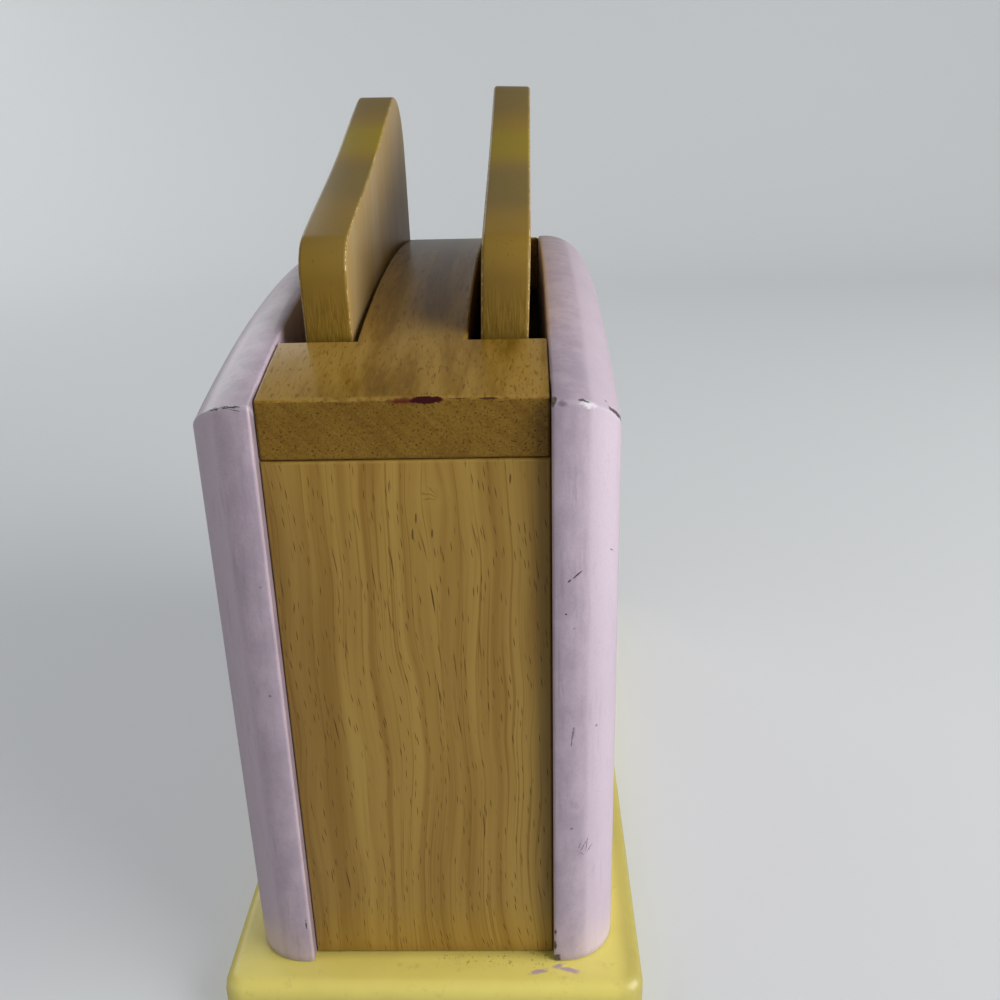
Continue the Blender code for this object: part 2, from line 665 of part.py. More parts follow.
def dial(parts, cutters, board):
    """Turning dial with a pointer notch, on an axle peg let into the side board."""
    profile = [(0.0, DIAL_THICKNESS)]
    profile += arc((DIAL_RADIUS - DIAL_EDGE_ROUND, DIAL_THICKNESS - DIAL_EDGE_ROUND),
                   DIAL_EDGE_ROUND, math.pi / 2, 0, CORNER_STEPS // 2)
    profile += [(DIAL_RADIUS, 0.0), (0.0, 0.0)]
    knob = turned("dial_knob", profile, parts, yellow_paint("dial_knob"),
                  (DIAL_BACK, DIAL_Y, DIAL_Z), ACROSS, ROUND_STEPS * 2)
    bore_length = DIAL_THICKNESS + 2 * CUT_OVERRUN
    bore = cylinder("dial_bore", PEG_RADIUS + SEAT_GAP, bore_length, ACROSS, cutters, None,
                    (DIAL_BACK + DIAL_THICKNESS / 2, DIAL_Y, DIAL_Z))
    cut(knob, bore)
    inner = PEG_HEAD_RADIUS + DIAL_NOTCH_INSET
    outer = DIAL_RADIUS - DIAL_EDGE_ROUND
    notch = box("dial_notch", (2 * DIAL_NOTCH_DEPTH, DIAL_NOTCH_WIDTH, outer - inner), cutters,
                None, (DIAL_BACK + DIAL_THICKNESS, DIAL_Y, DIAL_Z + (inner + outer) / 2))
    cut(knob, notch)

    head = DIAL_BACK + DIAL_THICKNESS + SEAT_GAP
    shank_foot = SIDE_OUTER - PEG_SEAT_DEPTH
    dome = []
    for i in range(CORNER_STEPS // 2 + 1):
        angle = math.pi / 2 * (1 - i / (CORNER_STEPS // 2))
        dome.append((PEG_HEAD_RADIUS * math.cos(angle),
                     head + PEG_HEAD_RIM + PEG_HEAD_DOME * math.sin(angle)))
    peg_profile = dome + [(PEG_HEAD_RADIUS, head), (PEG_RADIUS, head), (PEG_RADIUS, shank_foot),
                          (0.0, shank_foot)]
    peg_profile = [(radius, height - SIDE_OUTER) for radius, height in peg_profile]
    peg = turned("dial_peg", peg_profile, parts, raw_wood("dial_peg"),
                 (SIDE_OUTER, DIAL_Y, DIAL_Z), ACROSS, ROUND_STEPS)
    seat_length = PEG_SEAT_DEPTH + SEAT_GAP + CUT_OVERRUN
    seat = cylinder("peg_seat", PEG_RADIUS + SEAT_GAP, seat_length, ACROSS, cutters, None,
                    (SIDE_OUTER + CUT_OVERRUN - seat_length / 2, DIAL_Y, DIAL_Z))
    cut(board, seat)

    washer_middle = SIDE_OUTER + SEAT_GAP + WASHER_THICKNESS / 2
    washer = cylinder("dial_washer", WASHER_RADIUS, WASHER_THICKNESS, ACROSS, parts,
                      steel("dial_washer"), (washer_middle, DIAL_Y, DIAL_Z))
    smooth(washer)
    washer_bore = cylinder("washer_bore", PEG_RADIUS + SEAT_GAP,
                           WASHER_THICKNESS + 2 * CUT_OVERRUN, ACROSS, cutters, None,
                           (washer_middle, DIAL_Y, DIAL_Z))
    cut(washer, washer_bore)
    return knob, peg, washer


def base_screws(parts, cutters, base, sides, panels):
    """Screws through the base: two into each side board and two into each end panel."""
    number = 1
    for side, board in zip((LEFT, RIGHT), sides):
        for end in (NEAR, FAR):
            place = (side * (HALF_INNER + SIDE_THICKNESS / 2), end * SIDE_SCREW_SPACING / 2, 0)
            screw("base_screw_%d" % number, place, parts, cutters, (base, board))
            number += 1
    for end, panel in zip((NEAR, FAR), panels):
        for side in (LEFT, RIGHT):
            place = (side * PANEL_SCREW_SPACING / 2, end * PANEL_MIDDLE, 0)
            screw("base_screw_%d" % number, place, parts, cutters, (base, panel))
            number += 1


def body_dowels(parts, cutters, sides, panels, block):
    """Dowels from the side boards into the end panels, and from the panels into the block."""
    number = 1
    length = SIDE_DOWEL_IN_BOARD + SIDE_DOWEL_IN_PANEL
    for side, board in zip((LEFT, RIGHT), sides):
        for end, panel in zip((NEAR, FAR), panels):
            for height in (SIDE_DOWEL_LOW, SIDE_DOWEL_HIGH):
                start = (side * (HALF_INNER - SIDE_DOWEL_IN_PANEL), end * PANEL_MIDDLE,
                         BASE_TOP + height)
                dowel("side_dowel_%d" % number, start, ACROSS * side, length, (board, panel),
                      parts, cutters)
                number += 1
    number = 1
    length = TOP_DOWEL_IN_PANEL + TOP_DOWEL_IN_BLOCK
    for end, panel in zip((NEAR, FAR), panels):
        for side in (LEFT, RIGHT):
            start = (side * TOP_DOWEL_SPACING / 2, end * PANEL_MIDDLE,
                     PANEL_TOP - TOP_DOWEL_IN_PANEL)
            dowel("top_dowel_%d" % number, start, UP, length, (panel, block), parts, cutters)
            number += 1


def main():
    """Build the toaster."""
    clear_scene()
    parts = new_collection("toy_toaster")
    cutters = new_collection("cutters")

    base = base_board(parts)
    sides = (side_board("side_board_left", LEFT, parts),
             side_board("side_board_right", RIGHT, parts))
    panels = (end_panel("end_panel_near", NEAR, parts), end_panel("end_panel_far", FAR, parts))
    lever_slot(panels[1], cutters)
    block = top_block(parts, cutters)
    shelf = lift_shelf(parts, cutters)
    guide_rod("guide_rod_near", NEAR, parts, cutters, base, block)
    guide_rod("guide_rod_far", FAR, parts, cutters, base, block)
    spring("spring_near", NEAR, parts)
    spring("spring_far", FAR, parts)

    arm = lever_arm(parts)
    lever_knob(parts, cutters)
    for i in range(2):
        y = ARM_START + LEVER_SCREW_FROM_ARM_END + i * LEVER_SCREW_SPACING
        screw("lever_screw_%d" % (i + 1), (0, y, ARM_TOP - ARM_HEIGHT), parts, cutters,
              (arm, shelf), LEVER_SCREW_RADIUS, LEVER_SCREW_HEAD_RADIUS, LEVER_SCREW_LENGTH,
              LEVER_CROSS_SPAN)

    dial(parts, cutters, sides[1])
    base_screws(parts, cutters, base, sides, panels)
    body_dowels(parts, cutters, sides, panels, block)
    toast_slice("toast_slice_left", LEFT, LEFT_LOBE_WIDTH, LEFT_SLICE_FROM_STRIP,
                LEFT_SLICE_LEAN, parts)
    toast_slice("toast_slice_right", RIGHT, RIGHT_LOBE_WIDTH, RIGHT_SLICE_FROM_STRIP,
                RIGHT_SLICE_LEAN, parts)
    bpy.context.view_layer.update()


main()
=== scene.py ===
"""Looks of the wooden toy toaster: painted boards, lacquered hardwood, loose bread slices.

Laid out as an add-on: the sizes and colours are properties, each piece or group of pieces is an
operator, and the sidebar panel lists them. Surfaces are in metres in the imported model's frame;
finishes give places in millimetres and patterns in cycles per millimetre in the same frame.
"""
import math

import bmesh
import bpy
import numpy as np
from bpy.props import FloatProperty, FloatVectorProperty, IntProperty, PointerProperty
from mathutils import Matrix, Vector


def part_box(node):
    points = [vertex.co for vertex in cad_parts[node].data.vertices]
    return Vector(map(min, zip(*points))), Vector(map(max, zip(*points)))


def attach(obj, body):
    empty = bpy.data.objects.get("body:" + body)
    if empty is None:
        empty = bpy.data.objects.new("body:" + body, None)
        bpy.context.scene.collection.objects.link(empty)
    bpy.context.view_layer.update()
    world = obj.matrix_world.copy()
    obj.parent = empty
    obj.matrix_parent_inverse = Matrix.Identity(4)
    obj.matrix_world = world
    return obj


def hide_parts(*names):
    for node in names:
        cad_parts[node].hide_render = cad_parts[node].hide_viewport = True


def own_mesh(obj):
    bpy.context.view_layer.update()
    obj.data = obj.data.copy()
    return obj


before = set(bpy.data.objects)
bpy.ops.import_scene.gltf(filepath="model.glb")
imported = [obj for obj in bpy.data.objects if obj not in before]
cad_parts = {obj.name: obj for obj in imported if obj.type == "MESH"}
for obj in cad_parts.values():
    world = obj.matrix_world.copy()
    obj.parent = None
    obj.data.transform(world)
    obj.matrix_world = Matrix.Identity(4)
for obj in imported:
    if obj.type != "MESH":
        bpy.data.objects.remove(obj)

bl_info = {
    "name": "Toy Toaster Looks",
    "version": (1, 0, 0),
    "blender": (4, 5, 0),
    "location": "View3D > Sidebar > Toaster",
    "description": "Builds the visible surfaces and finishes of a wooden toy toaster",
    "category": "Object",
}

MM = 0.001
X, Y, Z = (1, 0, 0), (0, 1, 0), (0, 0, 1)
QUARTER_TURN = math.pi / 2
FULL_TURN = 2 * math.pi
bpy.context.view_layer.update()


def node_box(name):
    """Lowest and highest corner of a node at rest, as arrays."""
    low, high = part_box(name)
    return np.array(low), np.array(high)


PANEL_LOW, PANEL_HIGH = node_box("end_panel_near")
FAR_LOW, FAR_HIGH = node_box("end_panel_far")
BLOCK_LOW, BLOCK_HIGH = node_box("top_block")
RIGHT_LOW, RIGHT_HIGH = node_box("side_board_right")
LEFT_LOW, LEFT_HIGH = node_box("side_board_left")
KNOB_LOW, KNOB_HIGH = node_box("lever_knob")
DIAL_LOW, DIAL_HIGH = node_box("dial_knob")
DIAL_FACE = (DIAL_HIGH[0], *(DIAL_LOW + DIAL_HIGH)[1:] / 2)
BOARD_PROUD = RIGHT_HIGH[2] - BLOCK_HIGH[2]
SLOT_REACH = 33.0 * MM      # outer side of a bread slot, from the middle


def linear(red, green, blue):
    """Scene colour of an 8-bit display colour."""
    parts = [value / 255 for value in (red, green, blue)]
    return tuple(p / 12.92 if p <= 0.04045 else ((p + 0.055) / 1.055) ** 2.4 for p in parts)


# Colours of small marks, of painted shade, shadow, reflection and highlights, and the marks'
# places in millimetres

DARK_STREAK = linear(83, 46, 17)
PALE_END_GRAIN = linear(161, 128, 53)
RED_STAIN = linear(92, 12, 18)
RIM_CLOUD = linear(135, 110, 55)
RIM_BAND = linear(154, 134, 22)
RIM_GREY = linear(114, 99, 54)
# Pale worn slice edges, with a painted highlight along them.
WORN_EDGE_HIGHLIGHT = linear(226, 206, 150)
PAINT_CLOUD = linear(181, 161, 181)
PAINT_GRIME = linear(134, 119, 132)
PAINT_RUB = linear(143, 126, 143)
PAINT_GRIT = linear(150, 134, 150)
# Painted reflection on a board's face: darker and mottled towards the inner edge, brighter towards
# the round.
DARK_REFLECTION_MOTTLE = linear(152, 138, 156)
BRIGHT_REFLECTION = linear(226, 210, 224)
# Painted highlight along the crease.
CREASE_HIGHLIGHT = linear(221, 210, 221)
# Painted shade at a board's foot.
FOOT_SHADE = linear(135, 121, 108)
# Painted shadow in the gap, on a board's inner face near the end.
CHEEK_SHADOW = linear(60, 44, 36)
# Painted highlight below the right crease.
GLINT = linear(246, 240, 246)
BRUISE = linear(104, 66, 110)
BARE_CORNER = linear(84, 76, 52)
SCRATCH = linear(110, 98, 108)
YELLOW_CLOUD = linear(206, 192, 92)
YELLOW_GRIME = linear(160, 148, 84)
# Painted shadow along the base's right edge.
RIGHT_EDGE_SHADOW = linear(150, 138, 70)
YELLOW_SHADE = linear(150, 136, 62)
CRUMBS = linear(96, 84, 44)
LILAC_SMEAR = linear(188, 156, 182)
STEEL_MOTTLE = linear(126, 128, 132)
COOL_WHITE = (0.93, 0.97, 1.0)
FLOOR_BOUNCE = (0.42, 0.43, 0.435)

ARCH_RADIUS_MM = 474.0
TOP_EDGE = 176.0
PIN_KNOT = (5.4, 152.9)
DARK_STREAKS = (  # place across, height, half length
    (1.8, 147.0, 1.3),
    (0.8, 143.0, 1.5),
    (5.4, 143.2, 1.2),
    (23.9, 156.6, 1.2),
)
GROWTH_LINES = (  # place across, half width, soft edge, strength
    (-26.0, 0.2, 1.0, 0.35),
    (-22.0, 1.5, 3.0, 0.15),
    (-9.5, 0.3, 1.0, 0.65),
    (-6.0, 1.5, 3.0, 0.20),
    (0.5, 0.3, 1.2, 0.55),
    (2.5, 1.5, 2.0, 0.30),
    (9.0, 0.2, 0.8, 0.15),
    (20.5, 0.3, 1.2, 0.50),
    (29.0, 0.2, 0.8, 0.20),
)
CRACK_SWING = 2.5
# A crack is (middle, half length, width). Any other row is what Finish.blot takes, and each glint
# and each spot has its colour and share before that. The first entry is the share of the painted
# shadow in the gap on a board's inner face near the end.
LEFT_MARKS = {
    "cheek_shadow": 0.45,
    "drift": 0.1,
    "cracks": ((39.2, 3.6, 0.22),),
    "glints_and_spots": (),
    "chips": (
        ((-34.5, -111.6, 27.5), (0.22, 1.0, 2.0), (0, 0, 0), 0.9, 0.8),
        ((-36.4, -111.4, 175.0), (1.1, 1.0, 0.10), (0, 0.2, 0), 0.6, 0.8),
    ),
    "scratches": (),
}
RIGHT_MARKS = {
    "cheek_shadow": 0.9,
    "drift": 0.8,
    "cracks": ((40.4, 0.9, 0.42), (48.7, 2.1, 0.7)),
    "glints_and_spots": (
        # A painted highlight below the crease, then a bruise and a bare corner.
        (GLINT, 0.88, (42.0, -111.0, 174.6), (2.3, 2.0, 1.0), (0, 0.3, 0), 0.7, 1.2, 0.35),
        (BRUISE, 0.6, (35.6, -111.2, 175.3), (1.0, 1.4, 0.6), (0, 0, 0), 0.6, 1.0, 0.6),
        (BARE_CORNER, 0.9, (33.5, -110.4, 175.8), (1.1, 1.8, 1.2), (0, 0, 0), 0.7, 1.0, 0.2),
    ),
    "chips": (
        ((33.8, -111.4, 14.4), (1.2, 1.6, 2.1), (0, 0.4, 0), 0.8, 0.8),
        ((33.6, -111.4, 19.5), (0.4, 0.9, 1.6), (0, 0, 0), 0.9, 0.8),
        ((33.7, -111.4, 24.5), (0.35, 0.8, 0.9), (0, 0, 0), 0.9, 0.8),
        ((39.2, -111.2, 133.4), (1.5, 2.0, 0.22), (0, -0.7, 0), 0.4, 0.8),
        ((37.3, -111.3, 131.9), (0.5, 2.0, 0.22), (0, -0.7, 0), 0.4, 0.8),
        ((36.5, -111.5, 123.1), (0.25, 1.5, 0.25), (0, 0, 0), 0.4, 0.8),
        ((47.6, -107.5, 137.0), (0.9, 3.0, 0.14), (0, 0.9, 0), 0.5, 0.8),
    ),
    "scratches": (
        ((38.1, -111.4, 88.0), (0.18, 1.5, 3.2), (0, 0.1, 0), 0.6, 1.2),
        ((38.5, -111.4, 89.5), (0.14, 1.5, 1.6), (0, 0.1, 0), 0.6, 1.2),
        ((40.2, -111.1, 53.6), (0.16, 2.0, 2.3), (0, 0.35, 0), 0.6, 1.2),
        ((41.1, -110.9, 53.0), (0.16, 2.0, 2.9), (0, 0.5, 0), 0.6, 1.2),
        ((42.1, -110.6, 53.4), (0.16, 2.0, 2.5), (0, 0.12, 0), 0.6, 1.2),
        ((42.9, -110.2, 52.0), (0.14, 2.0, 1.7), (0, 0.6, 0), 0.6, 1.2),
        ((40.9, -110.9, 50.7), (0.8, 2.0, 0.14), (0, 0.8, 0), 0.6, 1.2),
    ),
}
SMEARS = (
    ((29.0, -114.9, 14.0), (2.4, 0.7, 2.0), (0, 0, 0.25), 0.8, 0.9, 0.5),
    ((34.5, -113.0, 14.0), (1.8, 0.6, 2.0), (0, 0, 0.4), 0.9, 0.9, 0.5),
    ((37.6, -114.4, 14.0), (2.8, 0.7, 2.0), (0, 0, -0.3), 0.9, 0.9, 0.5),
)
NOTCH = ((-0.8, 0.6), (0.0, 1.3), (10.0, 4.6))  # middle and half size along x, y and z


# Properties

def size_property(name, description, millimetres):
    """A length property with its default given in millimetres."""
    return FloatProperty(name=name, description=description, default=millimetres * MM,
                         min=0.0, unit="LENGTH", precision=5)


def colour_property(name, description, red, green, blue):
    """A colour property with its default given as a display colour."""
    return FloatVectorProperty(name=name, description=description, subtype="COLOR", size=3,
                               min=0.0, max=1.0, default=linear(red, green, blue))


def angle_property(name, description, radians):
    """An angle property."""
    return FloatProperty(name=name, description=description, default=radians, subtype="ANGLE")


def level_property(name, description, level, unit="NONE"):
    """A property for a number that is never below zero."""
    return FloatProperty(name=name, description=description, default=level, min=0.0, unit=unit)


class ToasterSizes(bpy.types.PropertyGroup):
    """Sizes of the surfaces that the frame does not give by itself."""

    arch_radius: size_property("Arch radius", "Radius of the arched top", ARCH_RADIUS_MM)
    board_round: size_property("Board round", "Quarter-round on a side board's outer edge", 14)
    board_ease: size_property("Board ease", "Small ease on a side board's inner edge", 0.8)
    panel_ease: size_property("Panel ease", "Ease on the end panel's edges", 0.6)
    seam: size_property("Seam", "Gap seen between the body and a side board", 0.12)
    lever_slot_width: size_property("Lever slot width", "Width of the lever's slot", 11.6)
    lever_slot_foot: size_property("Lever slot foot", "Height of the lever slot's foot", 46.4)
    lever_slot_top: size_property("Lever slot top", "Height of the lever slot's top", 97.0)
    block_ease: size_property("Block ease", "Ease on the top block's edges", 0.8)
    slot_width: size_property("Slot width", "Width of each bread slot", 19.4)
    slot_length: size_property("Slot length", "Length of each bread slot", 157)
    slice_length: size_property("Slice length", "Slice from heel to crown", 148.4)
    slice_thickness: size_property("Slice thickness", "Thickness of a slice", 11.8)
    slice_round: size_property("Slice round", "Round on a slice's edges", 0.95)
    heel_width: size_property("Heel width", "Width of a slice at its heel", 102)
    heel_radius: size_property("Heel radius", "Corner radius at the heel", 9.5)
    left_lobe_width: size_property("Left lobe width", "Left slice across its lobes", 129.5)
    right_lobe_width: size_property("Right lobe width", "Right slice across its lobes", 132)
    lobe_radius: size_property("Lobe radius", "Radius of a lobe", 25)
    lobe_from_heel: size_property("Lobe from heel", "Lobe centre from the heel", 120.9)
    waist_depth: size_property("Waist depth", "How far the sides draw in", 1.2)
    left_lean: angle_property("Left lean", "Lean of the left slice", math.radians(0.5))
    right_lean: angle_property("Right lean", "Lean of the right slice", math.radians(2.0))
    knob_collar: size_property("Knob collar", "Radius of the lever knob's collar", 9)
    knob_collar_length: size_property("Collar length", "Length of the knob's collar", 4)
    knob_collar_ease: size_property("Collar ease", "Ease on the collar's foot", 0.6)
    knob_round: size_property("Knob round", "Round on the knob's face", 6)
    wire_radius: size_property("Wire radius", "Radius of the spring wire", 0.5)
    spring_radius: size_property("Spring radius", "Radius of a spring to its wire's middle", 4.3)
    spring_end_pitch: size_property("End pitch", "Rise of a spring's end turns", 1.6)
    spring_turns: IntProperty(name="Spring turns", description="Turns of each lift spring",
                              default=14, min=4)


class ToasterColours(bpy.types.PropertyGroup):
    """Colours of the finishes."""

    lavender: colour_property("Lavender", "Paint of the side boards", 205, 187, 202)
    primer: colour_property("Primer", "Undercoat where the lavender paint is thin", 205, 168, 165)
    yellow: colour_property("Yellow", "Paint of the base, knob and dial", 248, 232, 124)
    wood_light: colour_property("Light wood", "Light bands of the hardwood", 185, 150, 73)
    wood_mid: colour_property("Middle wood", "Body colour of the hardwood", 172, 136, 63)
    wood_dark: colour_property("Dark wood", "Dark bands of the hardwood", 148, 109, 41)
    pore: colour_property("Pore", "Pores of the hardwood, and the dial's notch", 84, 52, 4)
    toast_edge: colour_property("Slice edge", "Rim of the bread slices", 151, 120, 41)
    toast_face: colour_property("Slice face", "Faces of the bread slices", 182, 158, 112)
    bare_wood: colour_property("Bare wood", "Wood inside the body", 172, 145, 104)
    steel: colour_property("Steel", "Zinc-plated steel", 159, 161, 163)
    block_wood: colour_property("Block wood", "Wood of the top block", 145, 110, 39)
    block_dark: colour_property("Dark block wood", "Dark bands of the top block", 119, 84, 21)
    stain: colour_property("Stain", "Dark stain on the top block", 62, 4, 12)
    chip: colour_property("Chip", "Where paint is chipped away", 50, 38, 30)
    floor: colour_property("Floor", "Floor and backdrop", 194, 196, 197)


class ToasterStage(bpy.types.PropertyGroup):
    """Camera and lamps."""

    focal_length: level_property("Focal length", "Camera's focal length in mm", 37.88)
    camera_place: FloatVectorProperty(name="Camera place", description="Where the camera stands",
                                      subtype="TRANSLATION", default=(0.0277, -0.3313, 0.2447))
    pitch: angle_property("Pitch", "How far the camera looks down", 0.3957)
    yaw: angle_property("Yaw", "How far the camera turns left", 0.0280)
    roll: angle_property("Roll", "How far the camera is rolled", -0.0249)
    key_power: level_property("Key power", "Power of the key lamp", 18.5, "POWER")
    fill_power: level_property("Fill power", "Power of the fill lamp", 1.8, "POWER")
    window_power: level_property("Window power", "Power of the lamp behind", 4.2, "POWER")
    backdrop_glow: level_property("Backdrop glow", "Light that the seen backdrop adds", 0.22)
    room_light: level_property("Room light", "Strength of the even room light", 0.22)


# Surfaces

def write_mesh(name, points, faces, keep_angle=math.radians(32), weld=0.0):
    """Make a smooth-shaded object from points and faces, with its faces turned outwards."""
    mesh = bpy.data.meshes.new(name)
    mesh.from_pydata(np.asarray(points).tolist(), [], faces)
    bm = bmesh.new()
    bm.from_mesh(mesh)
    if weld > 0:
        bmesh.ops.remove_doubles(bm, verts=bm.verts, dist=weld)
    bmesh.ops.recalc_face_normals(bm, faces=bm.faces)
    bm.to_mesh(mesh)
    bm.free()
    mesh.shade_smooth()
    if keep_angle is not None:
        mesh.set_sharp_from_angle(angle=keep_angle)
    obj = bpy.data.objects.new(name, mesh)
    bpy.context.scene.collection.objects.link(obj)
    return obj


def closed_surface(name, rings, first, last):
    """Surface through rings of points, shape (rings, points, 3), closed to a pole at each end.

    Point (i, j) joins (i, j + 1), wrapping round the ring, and (i + 1, j).
    """
    rings = np.asarray(rings, float)
    count, around = rings.shape[:2]
    points = np.vstack([np.reshape(first, (1, 3)), rings.reshape(-1, 3), np.reshape(last, (1, 3))])
    here = np.arange(around)
    following = (here + 1) % around
    row = 1 + around * np.arange(count - 1)[:, None]
    quads = np.stack([row + here, row + following, row + around + following,
                      row + around + here], axis=-1).reshape(-1, 4)
    start = np.stack([np.zeros_like(here), 1 + following, 1 + here], axis=-1)
    top = 1 + around * (count - 1)
    finish = np.stack([top + here, top + following,
                       np.full_like(here, around * count + 1)], axis=-1)
    return write_mesh(name, points, quads.tolist() + start.tolist() + finish.tolist())


def stacked(x, y, z):
    """World points from three coordinate arrays."""
    return np.stack([x, y, z], axis=-1)


def inset(outline, amount):
    """Move a closed outline's edges inwards by an amount, each point along its mitre.

    With the unit normals n and m of the two edges at a point, the point moves by
    -amount (n + m) / (1 + n.m).
    """
    ahead = np.roll(outline, -1, axis=0) - outline
    ahead /= np.linalg.norm(ahead, axis=1)[:, None]
    normal_out = np.stack([ahead[:, 1], -ahead[:, 0]], axis=1)
    normal_in = np.roll(normal_out, 1, axis=0)
    share = 1 + np.sum(normal_in * normal_out, axis=1)
    return outline - amount * (normal_in + normal_out) / share[:, None]


def between(a, b, steps):
    """Points from a towards b in equal steps, without b."""
    share = np.arange(steps)[:, None] / steps
    return np.asarray(a) * (1 - share) + np.asarray(b) * share


def slab(name, outline_at, profile, place, middle):
    """Closed slab from an outline and an edge profile of (inset, height).

    Ring k is outline_at(profile[k][0]), the anticlockwise outline moved inwards by that much, at
    height profile[k][1]. Both flats close by shrinking the end ring towards the middle. place
    turns (a, b, height) arrays into world points.
    """
    flat = [(outline_at(step), height) for step, height in profile]
    first, last = flat[0], flat[-1]
    flat.insert(0, (middle + (first[0] - middle) * 0.5, first[1]))
    flat.append((middle + (last[0] - middle) * 0.5, last[1]))
    rings = [place(ring[:, 0], ring[:, 1], np.full(len(ring), height)) for ring, height in flat]
    poles = [place(middle[0:1], middle[1:2], np.array([height]))[0]
             for height in (first[1], last[1])]
    return closed_surface(name, rings, *poles)


def quarter(radius, steps, start=0.0):
    """Quarter-round profile: inset r(1 - cos t) and height start + r sin t, t to a right angle."""
    t = np.linspace(0, QUARTER_TURN, steps + 1)
    return list(zip(radius * (1 - np.cos(t)), start + radius * np.sin(t)))


def edge_profile(thickness, low_ease, high_round, low_steps=3, high_steps=12):
    """Profile up a slab's side: a small ease, the straight wall, then the round at the top."""
    low = [(step, low_ease - height) for step, height in quarter(low_ease, low_steps)]
    return low[::-1] + quarter(high_round, high_steps, thickness - high_round)


def arc(centre, radius, start, end, steps):
    """Arc points: centre + radius (cos t, sin t), with t from start to end."""
    t = np.linspace(start, end, steps + 1)
    return np.stack([centre[0] + radius * np.cos(t), centre[1] + radius * np.sin(t)], axis=1)


def arch_height(y, radius, proud=0.0):
    """Height of the arched top: the circle through the block's crown, raised by proud."""
    return BLOCK_HIGH[2] - radius + np.sqrt((radius + proud) ** 2 - np.square(y))


def turned_surface(name, profile, place, steps=72):
    """Turned piece: ring k is a circle of radius profile[k][0] at height profile[k][1]."""
    t = np.linspace(0, FULL_TURN, steps, endpoint=False)
    rings = [place(radius * np.cos(t), radius * np.sin(t), np.full(steps, height))
             for radius, height in profile[1:-1]]
    zero = np.zeros(1)
    poles = [place(zero, zero, zero + profile[k][1])[0] for k in (0, -1)]
    return closed_surface(name, rings, *poles)


class Sheet:
    """Closed surface gathered from grids of points that meet at their edges."""

    def __init__(self):
        self.points = []
        self.faces = []
        self.count = 0

    def add(self, x, y, z):
        """Add the grid of points (x, y, z) and its quads."""
        rows, columns = x.shape
        i = self.count + columns * np.arange(rows - 1)[:, None] + np.arange(columns - 1)
        self.faces += np.stack([i, i + 1, i + columns + 1, i + columns],
                               axis=-1).reshape(-1, 4).tolist()
        self.points.append(stacked(x, y, z).reshape(-1, 3))
        self.count += rows * columns

    def add_flat(self, x, y, z):
        """Add the grid over two ranges of a box at one value of the third coordinate."""
        self.add(*(np.squeeze(part) for part in np.meshgrid(x, y, z, indexing="ij")))

    def make(self, name, ease):
        """Join the grids into one object whose sharp edges are eased."""
        obj = write_mesh(name, np.vstack(self.points), self.faces, None, 1e-6)
        bevel = obj.modifiers.new("Ease", "BEVEL")
        bevel.width = ease
        bevel.segments = 3
        bevel.limit_method = "ANGLE"
        bevel.angle_limit = math.radians(40)
        bevel.harden_normals = True
        return obj


# Finishes

